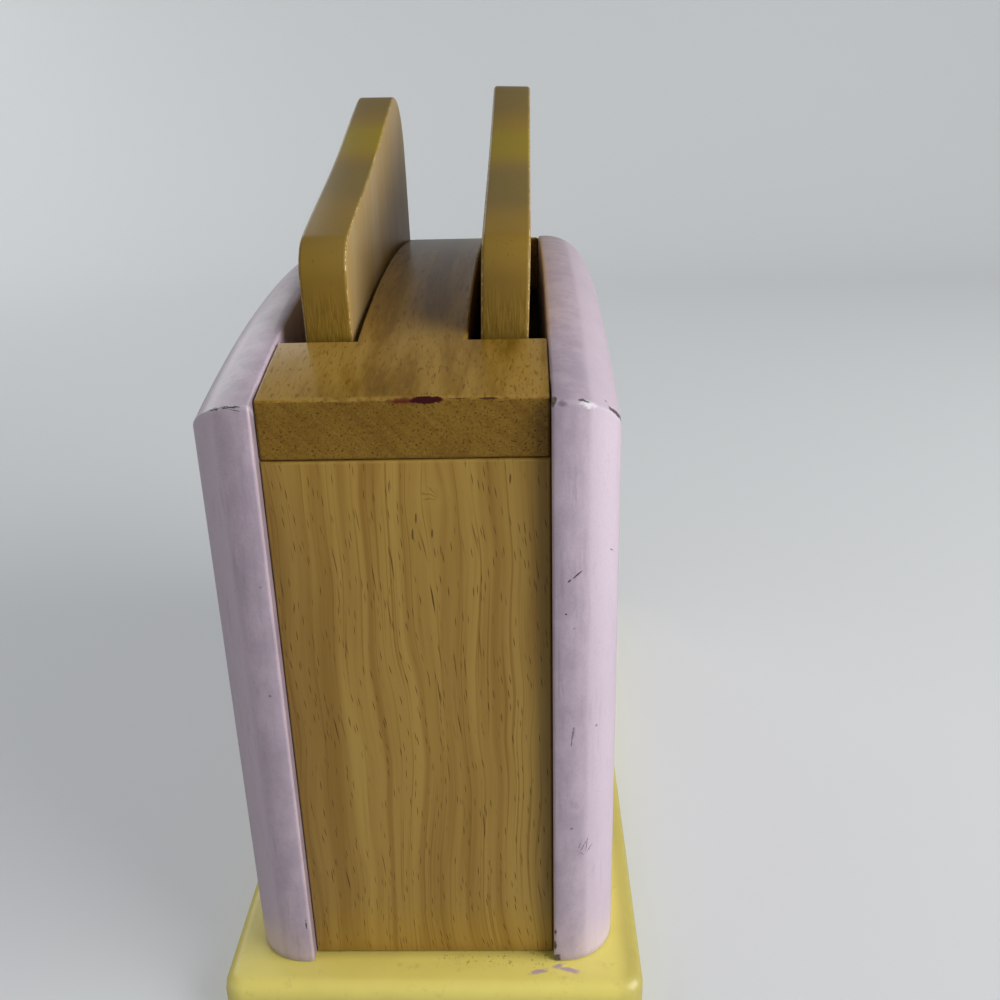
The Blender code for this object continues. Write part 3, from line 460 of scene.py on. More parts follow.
class Finish:
    """One node material and its running colour, built with short calls that add its nodes."""

    def __init__(self, name):
        self.material = bpy.data.materials.new(name)
        self.material.use_nodes = True
        self.nodes = self.material.node_tree.nodes
        self.shader = self.nodes["Principled BSDF"]
        coordinates = self.nodes.new("ShaderNodeTexCoord")
        self.place = coordinates.outputs["Object"]
        self.normal = coordinates.outputs["Normal"]
        self.colour = None

    def put(self, socket, value):
        """Link a socket to a socket, or set its own value."""
        if isinstance(value, bpy.types.NodeSocket):
            self.material.node_tree.links.new(value, socket)
        elif hasattr(value, "__len__") and len(value) == 3 and len(socket.default_value) == 4:
            socket.default_value = (*value, 1.0)
        else:
            socket.default_value = value

    def add(self, kind, inputs, output=0, **settings):
        """Add a node with its settings and inputs, and give one of its outputs."""
        node = self.nodes.new("ShaderNode" + kind)
        for key, value in settings.items():
            setattr(node, key, value)
        for key, value in inputs.items():
            self.put(node.inputs[key], value)
        return node.outputs[output]

    def math(self, operation, a, b=0.0):
        """One step of arithmetic."""
        return self.add("Math", {0: a, 1: b}, operation=operation)

    def chain(self, operation, values):
        """The same step of arithmetic from value to value."""
        result = values[0]
        for value in values[1:]:
            result = self.math(operation, result, value)
        return result

    def sum(self, *values):
        """Sum of values."""
        return self.chain("ADD", values)

    def both(self, *masks):
        """Product of masks."""
        return self.chain("MULTIPLY", masks)

    def either(self, *masks):
        """Largest of masks."""
        return self.chain("MAXIMUM", masks)

    def less(self, a, b):
        """Difference of two values."""
        return self.math("SUBTRACT", a, b)

    def size(self, value):
        """Value without its sign."""
        return self.math("ABSOLUTE", value)

    def facing(self, axis):
        """How far the surface faces along an axis, from 0 to 1."""
        return self.size(self.add("SeparateXYZ", {0: self.normal}, axis))

    def along(self, direction, shift=0.0):
        """Distance along a direction, in millimetres, less a shift."""
        direction = [part / MM for part in direction]
        return self.less(self.add("VectorMath", {0: self.place, 1: direction}, "Value",
                                  operation="DOT_PRODUCT"), shift)

    def mapped(self, scale, shift=(0, 0, 0)):
        """Coordinates in units per millimetre, one for all axes or one for each, and shifted."""
        return self.add("Mapping", {"Vector": self.place, "Location": shift,
                                    "Scale": np.broadcast_to(scale, 3) / MM})

    def space(self, *parts):
        """Coordinates along three directions, each (direction, units per millimetre)."""
        return self.add("CombineXYZ", {k: self.both(self.along(direction), rate)
                                       for k, (direction, rate) in enumerate(parts)})

    def noise(self, scale, detail=2.0, roughness=0.5, distortion=0.0, shift=(0, 0, 0)):
        """Noise from 0 to 1, on coordinates or on the place mapped by a scale and a shift."""
        mapped = isinstance(scale, bpy.types.NodeSocket)
        return self.add("TexNoise", {
            "Vector": scale if mapped else self.mapped(scale, shift), "Scale": 1.0,
            "Detail": detail, "Roughness": roughness, "Distortion": distortion}, "Fac")

    def cells(self, coordinates):
        """Distance to the nearest cell point, and that cell's own random value."""
        distance = self.add("TexVoronoi", {"Vector": coordinates, "Scale": 1.0}, "Distance")
        return distance, self.add("SeparateColor", {0: distance.node.outputs["Color"]})

    def step(self, value, low, high):
        """Smooth step from 0 at low to 1 at high; low may be the larger."""
        flip = float(low > high)
        return self.add("MapRange", {
            "Value": value, "From Min": min(low, high), "From Max": max(low, high),
            "To Min": flip, "To Max": 1.0 - flip}, "Result", interpolation_type="SMOOTHSTEP")

    def band(self, value, centre, half, soft):
        """Mask that is 1 within half of the centre and fades over soft."""
        return self.step(self.size(self.less(value, centre)), half + soft, half)

    def blot(self, centre, radii, turn=(0, 0, 0), ragged=0.5, grain=0.9, soft=0.15):
        """Ragged spot: an ellipsoid at a place in millimetres, its edge stirred by noise."""
        local = self.add("Mapping", {
            "Vector": self.place, "Location": [part * MM for part in centre], "Rotation": turn,
            "Scale": [part * MM for part in radii]}, vector_type="TEXTURE")
        off = self.add("VectorMath", {0: local}, "Value", operation="LENGTH")
        stir = self.less(self.noise(grain, 3.0, 0.6), 0.5)
        return self.step(self.sum(off, self.both(stir, 2 * ragged)), 1.0 + soft, 1.0 - soft)

    def mix(self, share, a, b):
        """Mix two colours."""
        return self.add("Mix", {"Factor": share, 6: a, 7: b}, 2, data_type="RGBA")

    def paint(self, colour, *masks):
        """Lay a colour over the running colour by the product of the masks."""
        self.colour = self.mix(self.both(*masks), self.colour, colour)

    def bump(self, height, strength, distance=0.2 * MM):
        """Bump from a height mask."""
        return self.add("Bump", {"Height": height, "Strength": strength, "Distance": distance},
                        "Normal")

    def finish(self, roughness, normal=None, metallic=0.0, coat=0.0, coat_roughness=0.1,
               shine=0.5):
        """Set the surface from the running colour; shine is its specular level."""
        levels = {"Base Color": self.colour, "Roughness": roughness, "Metallic": metallic,
                  "Coat Weight": coat, "Coat Roughness": coat_roughness,
                  "Specular IOR Level": shine}
        if normal is not None:
            levels["Normal"] = normal
        for key, value in levels.items():
            self.put(self.shader.inputs[key], value)
        return self.material


def pores(look, axes, slope, width, length, radius, chance):
    """Short dark pores of ring-porous hardwood: stretched cells, sheared by the slope.

    The axes are across, through and along the grain. A pore is the ellipse round each cell's
    point where the distance is under radius, kept in a chance share of the cells.
    """
    across, depth, along = axes
    sheared = tuple(a + slope * b for a, b in zip(across, along))
    distance, own = look.cells(look.space((sheared, 1 / width), (depth, 1 / width),
                                          (along, 1 / length)))
    return look.both(look.step(distance, radius * 1.4, radius * 0.5),
                     look.step(own, chance, chance - 0.1))


def hardwood(look, light, mid, dark, axes, slope, shift=(0, 0, 0)):
    """Lay the colour of lacquered hardwood, its grain along the last axis; give its pores."""
    def stretched(across_rate, along_rate):
        """Scale of a pattern that is stretched along the grain."""
        return (across_rate * (np.array(axes[0]) + axes[1]) + along_rate * np.array(axes[2]))

    bands = look.noise(stretched(0.10, 0.004), 3.0, 0.5, 0.3, shift)
    streaks = look.noise(stretched(0.9, 0.02), 3.0, 0.6, shift=shift)
    hairs = look.noise(stretched(1.6, 0.012), 1.0, 0.5, 0.4, shift)
    look.colour = mid
    look.paint(light, look.step(bands, 0.42, 0.62))
    look.paint(dark, look.step(bands, 0.49, 0.36), 0.6)
    look.paint(dark, look.step(streaks, 0.5, 0.72), 0.35)
    look.paint(light, look.step(streaks, 0.5, 0.3), 0.3)
    look.paint(dark, look.step(hairs, 0.58, 0.70), 0.7)
    large = pores(look, axes, slope, 1.4, 32.0, 0.12, 0.9)
    small = pores(look, axes, slope * 0.8, 0.62, 8.0, 0.17, 1.0)
    groups = look.noise(stretched(0.5, 0.02), shift=shift)
    return look.either(look.both(large, look.step(groups, 0.3, 0.6), 0.95),
                       look.both(small, look.step(groups, 0.1, 0.4), 0.85))


def panel_finish(colours, name, seed=(0, 0, 0)):
    """Lacquered end panel: upright grain, a few long growth lines, a pin knot and painted shade at
    its foot.
    """
    look = Finish(name)
    x, z = look.along(X), look.along(Z)
    off_x, off_z = look.along(X, PIN_KNOT[0]), look.along(Z, PIN_KNOT[1])

    def from_knot(weight):
        """Distance from the pin knot, with the height's square weighted."""
        return look.math("SQRT", look.sum(look.both(off_x, off_x),
                                          look.both(off_z, off_z, weight)))

    pull = from_knot(0.2)
    sway = look.less(look.noise((0.03, 0.03, 0.016), 1.5, shift=seed), 0.5)
    moved = look.less(look.both(sway, 12.0), look.both(look.step(pull, 7.5, 0.5), off_x, 0.55))
    flat = look.place
    aside = look.add("CombineXYZ", {0: look.both(moved, MM)})
    look.place = look.add("VectorMath", {0: flat, 1: aside}, operation="ADD")
    pore = hardwood(look, colours.wood_light, colours.wood_mid, colours.wood_dark, (X, Y, Z),
                    0.10, seed)
    look.place = flat
    pore = look.both(pore, look.step(pull, 3.0, 8.0))
    swayed = look.sum(x, moved)
    lines = [look.both(look.band(swayed, centre, half, soft), strength)
             for centre, half, soft, strength in GROWTH_LINES]
    look.paint(colours.wood_dark, look.either(*lines))
    spread = from_knot(1.3)
    swirl = look.noise((0.45, 0.1, 0.45))
    angle = look.math("ARCTAN2", look.sum(off_z, 0.9), look.sum(off_x, -2.4))
    rays = look.math("SINE", look.sum(look.both(angle, 15.0), look.both(swirl, 7.0)))
    look.paint(colours.wood_light, look.step(spread, 6.0, 0.5), 0.45)
    look.paint(colours.wood_dark, look.step(rays, 0.1, 0.9), look.step(spread, 2.6, 1.5), 0.7)
    look.paint(colours.pore, pore)
    streaks = [look.blot((across, PANEL_LOW[1] / MM, height), (0.22, 2.0, half), (0, 0.06, 0),
                         0.3, 0.5) for across, height, half in DARK_STREAKS]
    look.paint(DARK_STREAK, look.either(*streaks), 0.75)
    foot, top, reach = PANEL_LOW[2] / MM, PANEL_HIGH[2] / MM, PANEL_HIGH[0] / MM
    # Painted shade: darker towards the foot, where the panel meets the base.
    look.paint(colours.wood_dark, look.step(z, foot + 5, foot), 0.35)
    rim = look.either(look.step(z, top - 0.9, top - 0.4),
                      look.step(look.size(x), reach - 0.7, reach - 0.2))
    look.paint(colours.wood_light, rim, 0.35)
    return look.finish(look.sum(look.both(pore, 0.25), 0.38),
                       look.bump(look.less(1.0, pore), 0.12),
                       coat=0.2, coat_roughness=0.18, shine=0.35)


def block_finish(colours, name):
    """Lacquered top block: grain along the slots, speckled end grain, a dark stain at the edge."""
    look = Finish(name)
    pore = hardwood(look, colours.wood_mid, colours.block_wood, colours.block_dark, (X, Z, Y),
                    0.25, (3, 7, 1))
    long_grain = look.colour
    fleck = look.noise((1.9, 0.02, 1.9), 2.0, 0.6, shift=(2, 0, 7))
    run, rise = math.cos(math.radians(48)), math.sin(math.radians(48))
    rays = look.noise(look.space(((run, 0, rise), 0.42), ((-rise, 0, run), 0.03), (Y, 0.01)),
                      3.0, 0.6)
    grain = look.noise((1.4, 0.02, 1.4), 4.0, 0.75)
    wide = look.noise((0.09, 0.02, 0.09))
    look.colour = colours.block_wood
    look.paint(colours.block_dark, look.step(rays, 0.45, 0.62), 0.5)
    look.paint(colours.block_dark, look.step(wide, 0.45, 0.65), 0.4)
    look.paint(colours.block_dark, look.step(grain, 0.5, 0.68), 0.5)
    look.paint(PALE_END_GRAIN, look.step(grain, 0.5, 0.34), 0.55)
    end = look.step(look.facing(1), 0.6, 0.8)
    look.colour = look.mix(end, long_grain, look.colour)
    marks = look.either(look.both(end, look.step(fleck, 0.57, 0.65), 0.85),
                        look.both(look.less(1.0, end), pore, 0.36))
    look.paint(colours.pore, marks)
    near = BLOCK_LOW[1] / MM
    worn = look.step(look.noise(0.5, 3.0), 0.35, 0.6)
    look.paint(colours.wood_light, look.band(look.along(Z), TOP_EDGE, 0.3, 0.3),
               look.step(look.along(Y), near + 2, near), worn, 0.6)
    reddish = look.blot((0.8, near, TOP_EDGE - 0.5), (3.4, 1.4, 0.6), ragged=0.6, grain=1.2,
                        soft=0.5)
    dark = look.blot((5.6, near, TOP_EDGE - 0.4), (3.6, 1.6, 0.85), ragged=0.45)
    dash = look.blot((19.4, near, TOP_EDGE - 0.25), (2.1, 1.0, 0.24), ragged=0.4)
    dots = look.blot((12.4, near, TOP_EDGE - 0.2), (2.0, 1.0, 0.16), ragged=0.9, grain=2.0)
    look.paint(RED_STAIN, reddish, 0.85)
    look.paint(colours.stain, look.either(dark, look.both(dash, 0.85), look.both(dots, 0.6)))
    return look.finish(look.sum(look.both(end, 0.18), 0.22),
                       look.bump(look.less(1.0, marks), 0.25),
                       coat=0.16, coat_roughness=0.10, shine=0.2)


def slice_finish(colours, name, seed, band_place):
    """Bread slice: stained rim with a warm band, paler faces with upright grain, worn edges with a
    painted highlight.
    """
    look = Finish(name)
    sideways = look.facing(0)
    fine = look.noise((0.9, 0.9, 0.05), 3.0, 0.6, 0.4, seed)
    broad = look.noise((0.10, 0.10, 0.012), 3.0, 0.5, 0.5, seed)
    look.colour = colours.toast_face
    look.paint(colours.wood_mid, look.step(broad, 0.35, 0.7), 0.55)
    look.paint(colours.wood_dark, look.step(fine, 0.5, 0.72), 0.35)
    face = look.colour
    cloud = look.noise(0.035, shift=seed)
    threads = look.noise((4.2, 0.5, 0.16), 3.0, 0.7, shift=seed)
    across = look.noise((0.10, 0.9, 0.9), 2.0, 0.6, shift=seed)
    low_down = look.step(look.along(Z), 198.0, 184.0)
    look.colour = colours.toast_edge
    look.paint(RIM_CLOUD, look.step(cloud, 0.3, 0.7), 0.6)
    look.paint(colours.pore, look.step(threads, 0.46, 0.66), low_down, 0.55)
    look.paint(colours.wood_light, look.step(threads, 0.48, 0.34), low_down, 0.5)
    look.paint(colours.wood_dark, look.step(across, 0.45, 0.7), 0.22)
    y = look.along(Y)
    look.paint(RIM_BAND, look.band(y, band_place, 4.0, 14.0), 0.75)
    look.paint(RIM_GREY, look.either(look.band(y, band_place - 32.0, 8.0, 14.0),
                                     look.step(y, band_place + 12.0, band_place + 30.0)), 0.6)
    look.colour = look.mix(look.step(sideways, 0.75, 0.95), look.colour, face)
    look.paint(colours.pore, pores(look, (X, Y, Z), 0.05, 1.2, 6.0, 0.16, 0.5), 0.35)
    corner = look.less(1.0, look.size(look.less(sideways, 0.7)))
    chatter = look.noise((0.7, 0.7, 0.5), 5.0, 0.85, shift=seed)
    # Worn edges, with a painted highlight on the rounded rim.
    look.paint(WORN_EDGE_HIGHLIGHT, look.step(corner, 0.83, 0.97), look.step(chatter, 0.49, 0.58), 0.9)
    return look.finish(look.sum(look.both(fine, 0.12), 0.30), look.bump(fine, 0.08),
                       coat=0.05, coat_roughness=0.2, shine=0.2)


def lavender_finish(colours, name, side, marks):
    """Satin lavender paint: cloudy, scuffed, cracked at the crease and chipped at its edges, with
    a painted reflection on its face, a painted highlight at the crease, and painted shade at its
    foot and in the gap on the inner face.
    """
    look = Finish(name)
    inner, end, foot = RIGHT_LOW / MM
    x, y, z = look.both(look.along(X), side), look.along(Y), look.along(Z)
    cloud = look.noise((0.05, 0.05, 0.02), 3.0, 0.6, shift=(side, 2, 5))
    grime = look.noise((0.25, 0.25, 0.12), 5.0, 0.7, shift=(side, 9, 1))
    brushed = look.noise((1.1, 1.1, 0.07), 4.0, 0.7, shift=(side, 4, 8))
    patches = look.noise((0.12, 0.12, 0.05), 3.0, 0.6, shift=(side, 1, 6))
    grit = look.noise((2.4, 2.4, 1.6), 2.0, 0.7, shift=(side, 6, 6))
    dull = look.noise((0.16, 0.16, 0.09), 4.0, 0.65, shift=(side, 5, 9))
    look.colour = colours.lavender
    look.paint(PAINT_CLOUD, look.step(cloud, 0.35, 0.75), 0.35)
    look.paint(PAINT_GRIME, look.step(grime, 0.60, 0.78), 0.35)
    look.paint(PAINT_RUB, look.step(brushed, 0.50, 0.66), look.step(patches, 0.44, 0.66), 0.34)
    look.paint(PAINT_GRIT, look.step(grit, 0.50, 0.68), 0.22)
    # Painted reflection: the face darker and mottled towards the inner edge, brighter towards the
    # round.
    look.paint(DARK_REFLECTION_MOTTLE, look.step(x, inner + 9.5, inner + 7.0),
               look.step(dull, 0.34, 0.64), 0.36)
    look.paint(BRIGHT_REFLECTION, look.step(x, inner + 8.0, inner + 9.5), 0.3)
    look.paint(colours.primer, look.step(x, inner + 0.4, inner + 0.15),
               look.step(y, end + 1.2, end + 0.6), 0.25)
    # Painted shadow in the gap, on the inner face near the end.
    look.paint(CHEEK_SHADOW, look.step(x, inner + 0.3, inner + 0.1), look.step(y, end + 0.4, end + 1.0),
               look.step(y, end + 12.0, end + 8.0), marks["cheek_shadow"])

    tilt = (QUARTER_TURN - math.atan2(-end, ARCH_RADIUS_MM)) / 2
    level = arch_height(RIGHT_LOW[1], ARCH_RADIUS_MM * MM, BOARD_PROUD) / MM
    crease = look.along((0, math.sin(tilt), math.cos(tilt)),
                        end * math.sin(tilt) + level * math.cos(tilt))
    near = look.step(y, end + 13.5, end + 12.0)
    shake = look.less(look.noise(0.35, 4.0, 0.7, shift=(side, 0, 4)),
                      0.5 + marks["drift"] / CRACK_SWING)
    shaken = look.size(look.sum(crease, look.both(shake, CRACK_SWING)))
    wide = look.noise(0.5, shift=(side, 8, 0))
    cracks = [look.both(look.band(x, middle, half, 0.6), look.step(
        look.less(shaken, look.both(wide, 2 * width)), 0.1, -0.1), near)
        for middle, half, width in marks["cracks"]]
    # Painted highlight along the crease; the first mark in the table is a painted glint.
    look.paint(CREASE_HIGHLIGHT, look.band(crease, 0.0, 0.25, 0.7), near, 0.35)
    for colour, share, *spot in marks["glints_and_spots"]:
        look.paint(colour, look.blot(*spot), share)

    dust, own = look.cells(look.mapped(0.16, (side, 3, 3)))
    look.paint(colours.chip, look.step(dust, 0.09, 0.04), look.step(own, 0.35, 0.3), 0.55)
    bare = look.either(*cracks, *(look.blot(*chip) for chip in marks["chips"]))
    crumbs = look.noise(1.6, 3.0, 0.7, shift=(side, 2, 2))
    look.paint(colours.chip, bare, look.step(crumbs, 0.26, 0.40), 0.9)
    if marks["scratches"]:
        scratches = look.either(*(look.blot(*scratch) for scratch in marks["scratches"]))
        look.paint(SCRATCH, scratches, look.step(crumbs, 0.36, 0.52), 0.8)
    # Painted shade at the board's foot.
    look.paint(FOOT_SHADE, look.step(z, foot + 2.2, foot), 0.35)
    peel = look.noise((0.9, 0.9, 0.35))
    return look.finish(look.sum(look.both(grime, 0.2), 0.30),
                       look.bump(look.less(look.both(peel, 0.12), bare), 0.4, 0.25 * MM),
                       coat=0.25, coat_roughness=0.2)


def yellow_finish(colours, name, add_marks=None):
    """Satin yellow paint, a little cloudy and grimy, with a piece's own marks over it."""
    look = Finish(name)
    cloud = look.noise(0.04, 3.0, 0.6)
    grime = look.noise(0.2, 5.0, 0.7)
    look.colour = colours.yellow
    look.paint(YELLOW_CLOUD, look.step(cloud, 0.35, 0.75), 0.25)
    look.paint(YELLOW_GRIME, look.step(grime, 0.56, 0.8), 0.3)
    if add_marks is not None:
        add_marks(look, colours)
    return look.finish(look.sum(look.both(grime, 0.2), 0.28), look.bump(look.noise(0.8), 0.06),
                       coat=0.3, coat_roughness=0.15)


def add_notch(look, colours):
    """Lay a dark pointer notch near the rim of the dial's face."""
    bands = [look.band(look.along(axis, face / MM), centre, half, 0.1)
             for axis, face, (centre, half) in zip((X, Y, Z), DIAL_FACE, NOTCH)]
    look.paint(colours.pore, *bands)


def add_base_marks(look, colours):
    """Lay crumbs of dirt, lilac smears, a painted shadow along the right edge and painted shade
    along the near panel.
    """
    near = PANEL_LOW[1] / MM
    x, y = look.along(X), look.along(Y)
    field = look.blot((19.0, near - 2.2, 14.0), (17.0, 3.6, 4.0), grain=0.4)
    specks = look.both(look.step(look.noise(0.9, 3.0, 0.7), 0.60, 0.66), field)
    wide, own = look.cells(look.mapped(0.12))
    few = look.both(look.step(wide, 0.07, 0.03), look.step(own, 0.3, 0.25))
    look.paint(CRUMBS, look.either(specks, few), 0.7)
    look.paint(LILAC_SMEAR, look.either(*(look.blot(*smear) for smear in SMEARS)), 0.85)
    # Painted shadow along the right edge.
    look.paint(RIGHT_EDGE_SHADOW, look.step(x, 49.0, 57.0), look.step(y, 60.0, -60.0), 0.65)
    look.paint(YELLOW_SHADE, look.band(y, near + 0.5, 0.5, 3.0),
               look.step(look.size(x), 33.5, 32.5), 0.3)


def bare_wood_finish(colours, name, along):
    """Plain wood inside the body, with fine grain along an axis."""
    look = Finish(name)
    grain = look.noise(tuple(0.06 if part else 0.8 for part in along), 4.0, 0.6, 0.3)
    look.colour = colours.bare_wood
    look.paint(colours.wood_mid, look.step(grain, 0.35, 0.7))
    return look.finish(look.sum(look.both(grain, 0.2), 0.5), look.bump(grain, 0.15))


def steel_finish(colours, name):
    """Zinc-plated steel with a faint mottle."""
    look = Finish(name)
    mottle = look.noise(0.8, 3.0, 0.6)
    look.colour = colours.steel
    look.paint(STEEL_MOTTLE, mottle, 0.4)
    return look.finish(look.sum(look.both(mottle, 0.2), 0.25), metallic=1.0)


def dress(obj, material):
    """Give an object one material."""
    obj.data.materials.clear()
    obj.data.materials.append(material)


def smoothing_group():
    """Geometry nodes that shade a surface smooth and keep edges over 30 degrees sharp."""
    group = bpy.data.node_groups.get("shade_by_angle")
    if group is not None:
        return group
    group = bpy.data.node_groups.new("shade_by_angle", "GeometryNodeTree")
    for in_out in ("INPUT", "OUTPUT"):
        group.interface.new_socket("Geometry", in_out=in_out, socket_type="NodeSocketGeometry")
    start = group.nodes.new("NodeGroupInput")
    end = group.nodes.new("NodeGroupOutput")
    smooth = group.nodes.new("GeometryNodeSetShadeSmooth")
    smooth.domain = "FACE"
    sharp = group.nodes.new("GeometryNodeSetShadeSmooth")
    sharp.domain = "EDGE"
    sharp.inputs["Shade Smooth"].default_value = False
    angle = group.nodes.new("GeometryNodeInputMeshEdgeAngle")
    over = group.nodes.new("FunctionNodeCompare")
    over.data_type = "FLOAT"
    over.operation = "GREATER_THAN"
    over.inputs[1].default_value = math.radians(30)
    for output, socket in ((start.outputs[0], smooth.inputs["Geometry"]),
                           (smooth.outputs[0], sharp.inputs["Geometry"]),
                           (angle.outputs["Unsigned Angle"], over.inputs[0]),
                           (over.outputs[0], sharp.inputs["Selection"]),
                           (sharp.outputs[0], end.inputs[0])):
        group.links.new(output, socket)
    return group


def polish(name, material):
    """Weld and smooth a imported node's surface and give it its finish."""
    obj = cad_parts[name]
    weld = obj.modifiers.new("Weld", "WELD")
    weld.merge_threshold = 0.01 * MM
    shade = obj.modifiers.new("Shade", "NODES")
    shade.node_group = smoothing_group()
    for slot in obj.material_slots:
        slot.material = material


# Operators

class TOASTER_OT_side_boards(bpy.types.Operator):
    """Two painted side boards: the arched outline with a quarter-round run along its edge"""

    bl_idname = "toaster.side_boards"
    bl_label = "Side Boards"

    def execute(self, context):
        sizes = context.scene.toaster_sizes
        half = RIGHT_HIGH[1]
        foot = RIGHT_LOW[2]

        def outline_at(step):
            """The board's outline with its arch and both ends moved in, its foot kept."""
            y = np.linspace(half - step, -half + step, 97)
            arch = np.stack([y, arch_height(y, sizes.arch_radius, BOARD_PROUD - step)], axis=1)
            near = (-half + step, foot)
            far = (half - step, foot)
            return np.vstack([arch[:-1], between(arch[-1], near, 40), between(near, far, 12),
                              between(far, arch[0], 40)])

        for side, name, low, high, start, marks in (
                (-1, "left", LEFT_LOW, LEFT_HIGH, LEFT_HIGH[0], LEFT_MARKS),
                (1, "right", RIGHT_LOW, RIGHT_HIGH, RIGHT_LOW[0], RIGHT_MARKS)):
            profile = edge_profile(high[0] - low[0], sizes.board_ease, sizes.board_round)

            def place(a, b, height, start=start, side=side):
                return stacked(start + side * height, a, b)

            board = slab("side_board_%s_painted" % name, outline_at, profile, place,
                         np.array([0.0, (foot + BLOCK_LOW[2]) / 2]))
            dress(board, lavender_finish(context.scene.toaster_colours,
                                         "lavender_paint_%s" % name, side, marks))
            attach(board, "housing")
            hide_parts("side_board_%s" % name)
        return {"FINISHED"}


class TOASTER_OT_end_panels(bpy.types.Operator):
    """Two end panels with eased edges, the far one with its lever slot"""

    bl_idname = "toaster.end_panels"
    bl_label = "End Panels"

    def execute(self, context):
        sizes = context.scene.toaster_sizes
        colours = context.scene.toaster_colours
        reach = RIGHT_LOW[0] - sizes.seam
        low, high = PANEL_LOW, PANEL_HIGH
        corners = [(-reach, low[2]), (reach, low[2]), (reach, high[2]), (-reach, high[2])]
        outline = np.vstack([between(corners[k], corners[(k + 1) % 4], 8) for k in range(4)])
        profile = edge_profile(high[1] - low[1], sizes.panel_ease, sizes.panel_ease, 3, 3)
        panel = slab("end_panel_near_lacquered", lambda step: inset(outline, step), profile,
                     lambda a, b, height: stacked(a, PANEL_HIGH[1] - height, b),
                     outline.mean(axis=0))
        dress(panel, panel_finish(colours, "panel_wood_near"))
        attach(panel, "housing")
        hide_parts("end_panel_near")

        low, high = FAR_LOW, FAR_HIGH
        slot_half = sizes.lever_slot_width / 2
        slot_low, slot_high = sizes.lever_slot_foot, sizes.lever_slot_top
        through = (low[1], high[1])
        xs = [np.linspace(-reach, -slot_half, 5), np.linspace(-slot_half, slot_half, 3),
              np.linspace(slot_half, reach, 5)]
        zs = [np.linspace(low[2], slot_low, 5), np.linspace(slot_low, slot_high, 9),
              np.linspace(slot_high, high[2], 7)]
        sheet = Sheet()
        for i in range(3):
            for k in range(3):
                if (i, k) != (1, 1):
                    for y in through:
                        sheet.add_flat(xs[i], y, zs[k])
            for z in (low[2], high[2]):
                sheet.add_flat(xs[i], through, z)
            for x in (-reach, reach):
                sheet.add_flat(x, through, zs[i])
        for z in (slot_low, slot_high):
            sheet.add_flat(xs[1], through, z)
        for x in (-slot_half, slot_half):
            sheet.add_flat(x, through, zs[1])
        far = sheet.make("end_panel_far_lacquered", sizes.panel_ease)
        dress(far, panel_finish(colours, "panel_wood_far", (11, 4, 6)))
        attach(far, "housing")
        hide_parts("end_panel_far")
        return {"FINISHED"}


class TOASTER_OT_top_block(bpy.types.Operator):
    """Arched top block with two bread slots, from joined grids with eased edges"""

    bl_idname = "toaster.top_block"
    bl_label = "Top Block"

    def execute(self, context):
        sizes = context.scene.toaster_sizes
        half_width = RIGHT_LOW[0] - sizes.seam
        half_length = BLOCK_HIGH[1]
        strip = SLOT_REACH - sizes.slot_width
        slot = sizes.slot_length / 2
        foot = BLOCK_LOW[2]
        strip_x = np.linspace(-strip, strip, 9)
        ledge_x = np.linspace(strip, half_width, 6)
        wide_x = np.concatenate([-ledge_x[:0:-1], strip_x, ledge_x[1:]])
        end_y = np.linspace(slot, half_length, 9)
        mid_y = np.linspace(-slot, slot, 41)
        sheet = Sheet()

        def wall(x, y):
            """Add the wall from the block's foot to its arch over a straight line."""
            x, y, row = np.broadcast_arrays(np.reshape(x, (-1, 1)), np.reshape(y, (-1, 1)), (0, 1))
            sheet.add(x, y, foot + row * (arch_height(y, sizes.arch_radius) - foot))

        for xs, ys in ((wide_x, -end_y[::-1]), (strip_x, mid_y), (wide_x, end_y)):
            x, y = np.meshgrid(xs, ys, indexing="ij")
            sheet.add(x, y, arch_height(y, sizes.arch_radius))
            sheet.add_flat(xs, ys, foot)
        for side in (-1, 1):
            wall(wide_x, side * half_length)
            wall(side * strip, mid_y)
            for end in (-1, 1):
                wall(side * half_width, end * end_y)
                wall(side * ledge_x, end * slot)
        block = sheet.make("top_block_lacquered", sizes.block_ease)
        dress(block, block_finish(context.scene.toaster_colours, "block_wood"))
        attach(block, "housing")
        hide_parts("top_block")
        return {"FINISHED"}


def slice_outline(sizes, lobe_width):
    """Slice outline (u, v) and its flare: heel corners, sides with a sine-squared waist, lobes.

    The crown is the arc through the tip that is tangent to both lobes.
    """
    heel = np.array([sizes.heel_radius, sizes.heel_width / 2 - sizes.heel_radius])
    lobe = np.array([sizes.lobe_from_heel, lobe_width / 2 - sizes.lobe_radius])
    run, rise = lobe - heel
    flare = math.atan2(rise, run) + math.asin(
        (sizes.lobe_radius - sizes.heel_radius) / math.hypot(run, rise))
    reach = sizes.slice_length - sizes.lobe_radius
    centre = (reach ** 2 - lobe @ lobe) / (2 * (reach - lobe[0]))
    crown_angle = math.atan2(lobe[1], lobe[0] - centre)
    normal = QUARTER_TURN + flare
    corner = arc(heel, sizes.heel_radius, math.pi, normal, 18)
    bulge = arc(lobe, sizes.lobe_radius, normal, crown_angle, 36)
    share = np.linspace(0, 1, 41)[1:-1, None]
    inward = np.array([math.sin(flare), -math.cos(flare)])
    side = (corner[-1] * (1 - share) + bulge[0] * share
            + inward * sizes.waist_depth * np.sin(math.pi * share) ** 2)
    crown = arc((centre, 0), sizes.slice_length - centre, crown_angle, 0, 16)[1:]
    half = np.vstack([corner, side, bulge, crown])
    outline = np.vstack([half, half[:-1][::-1] * (1, -1)])
    return outline[::-1], flare


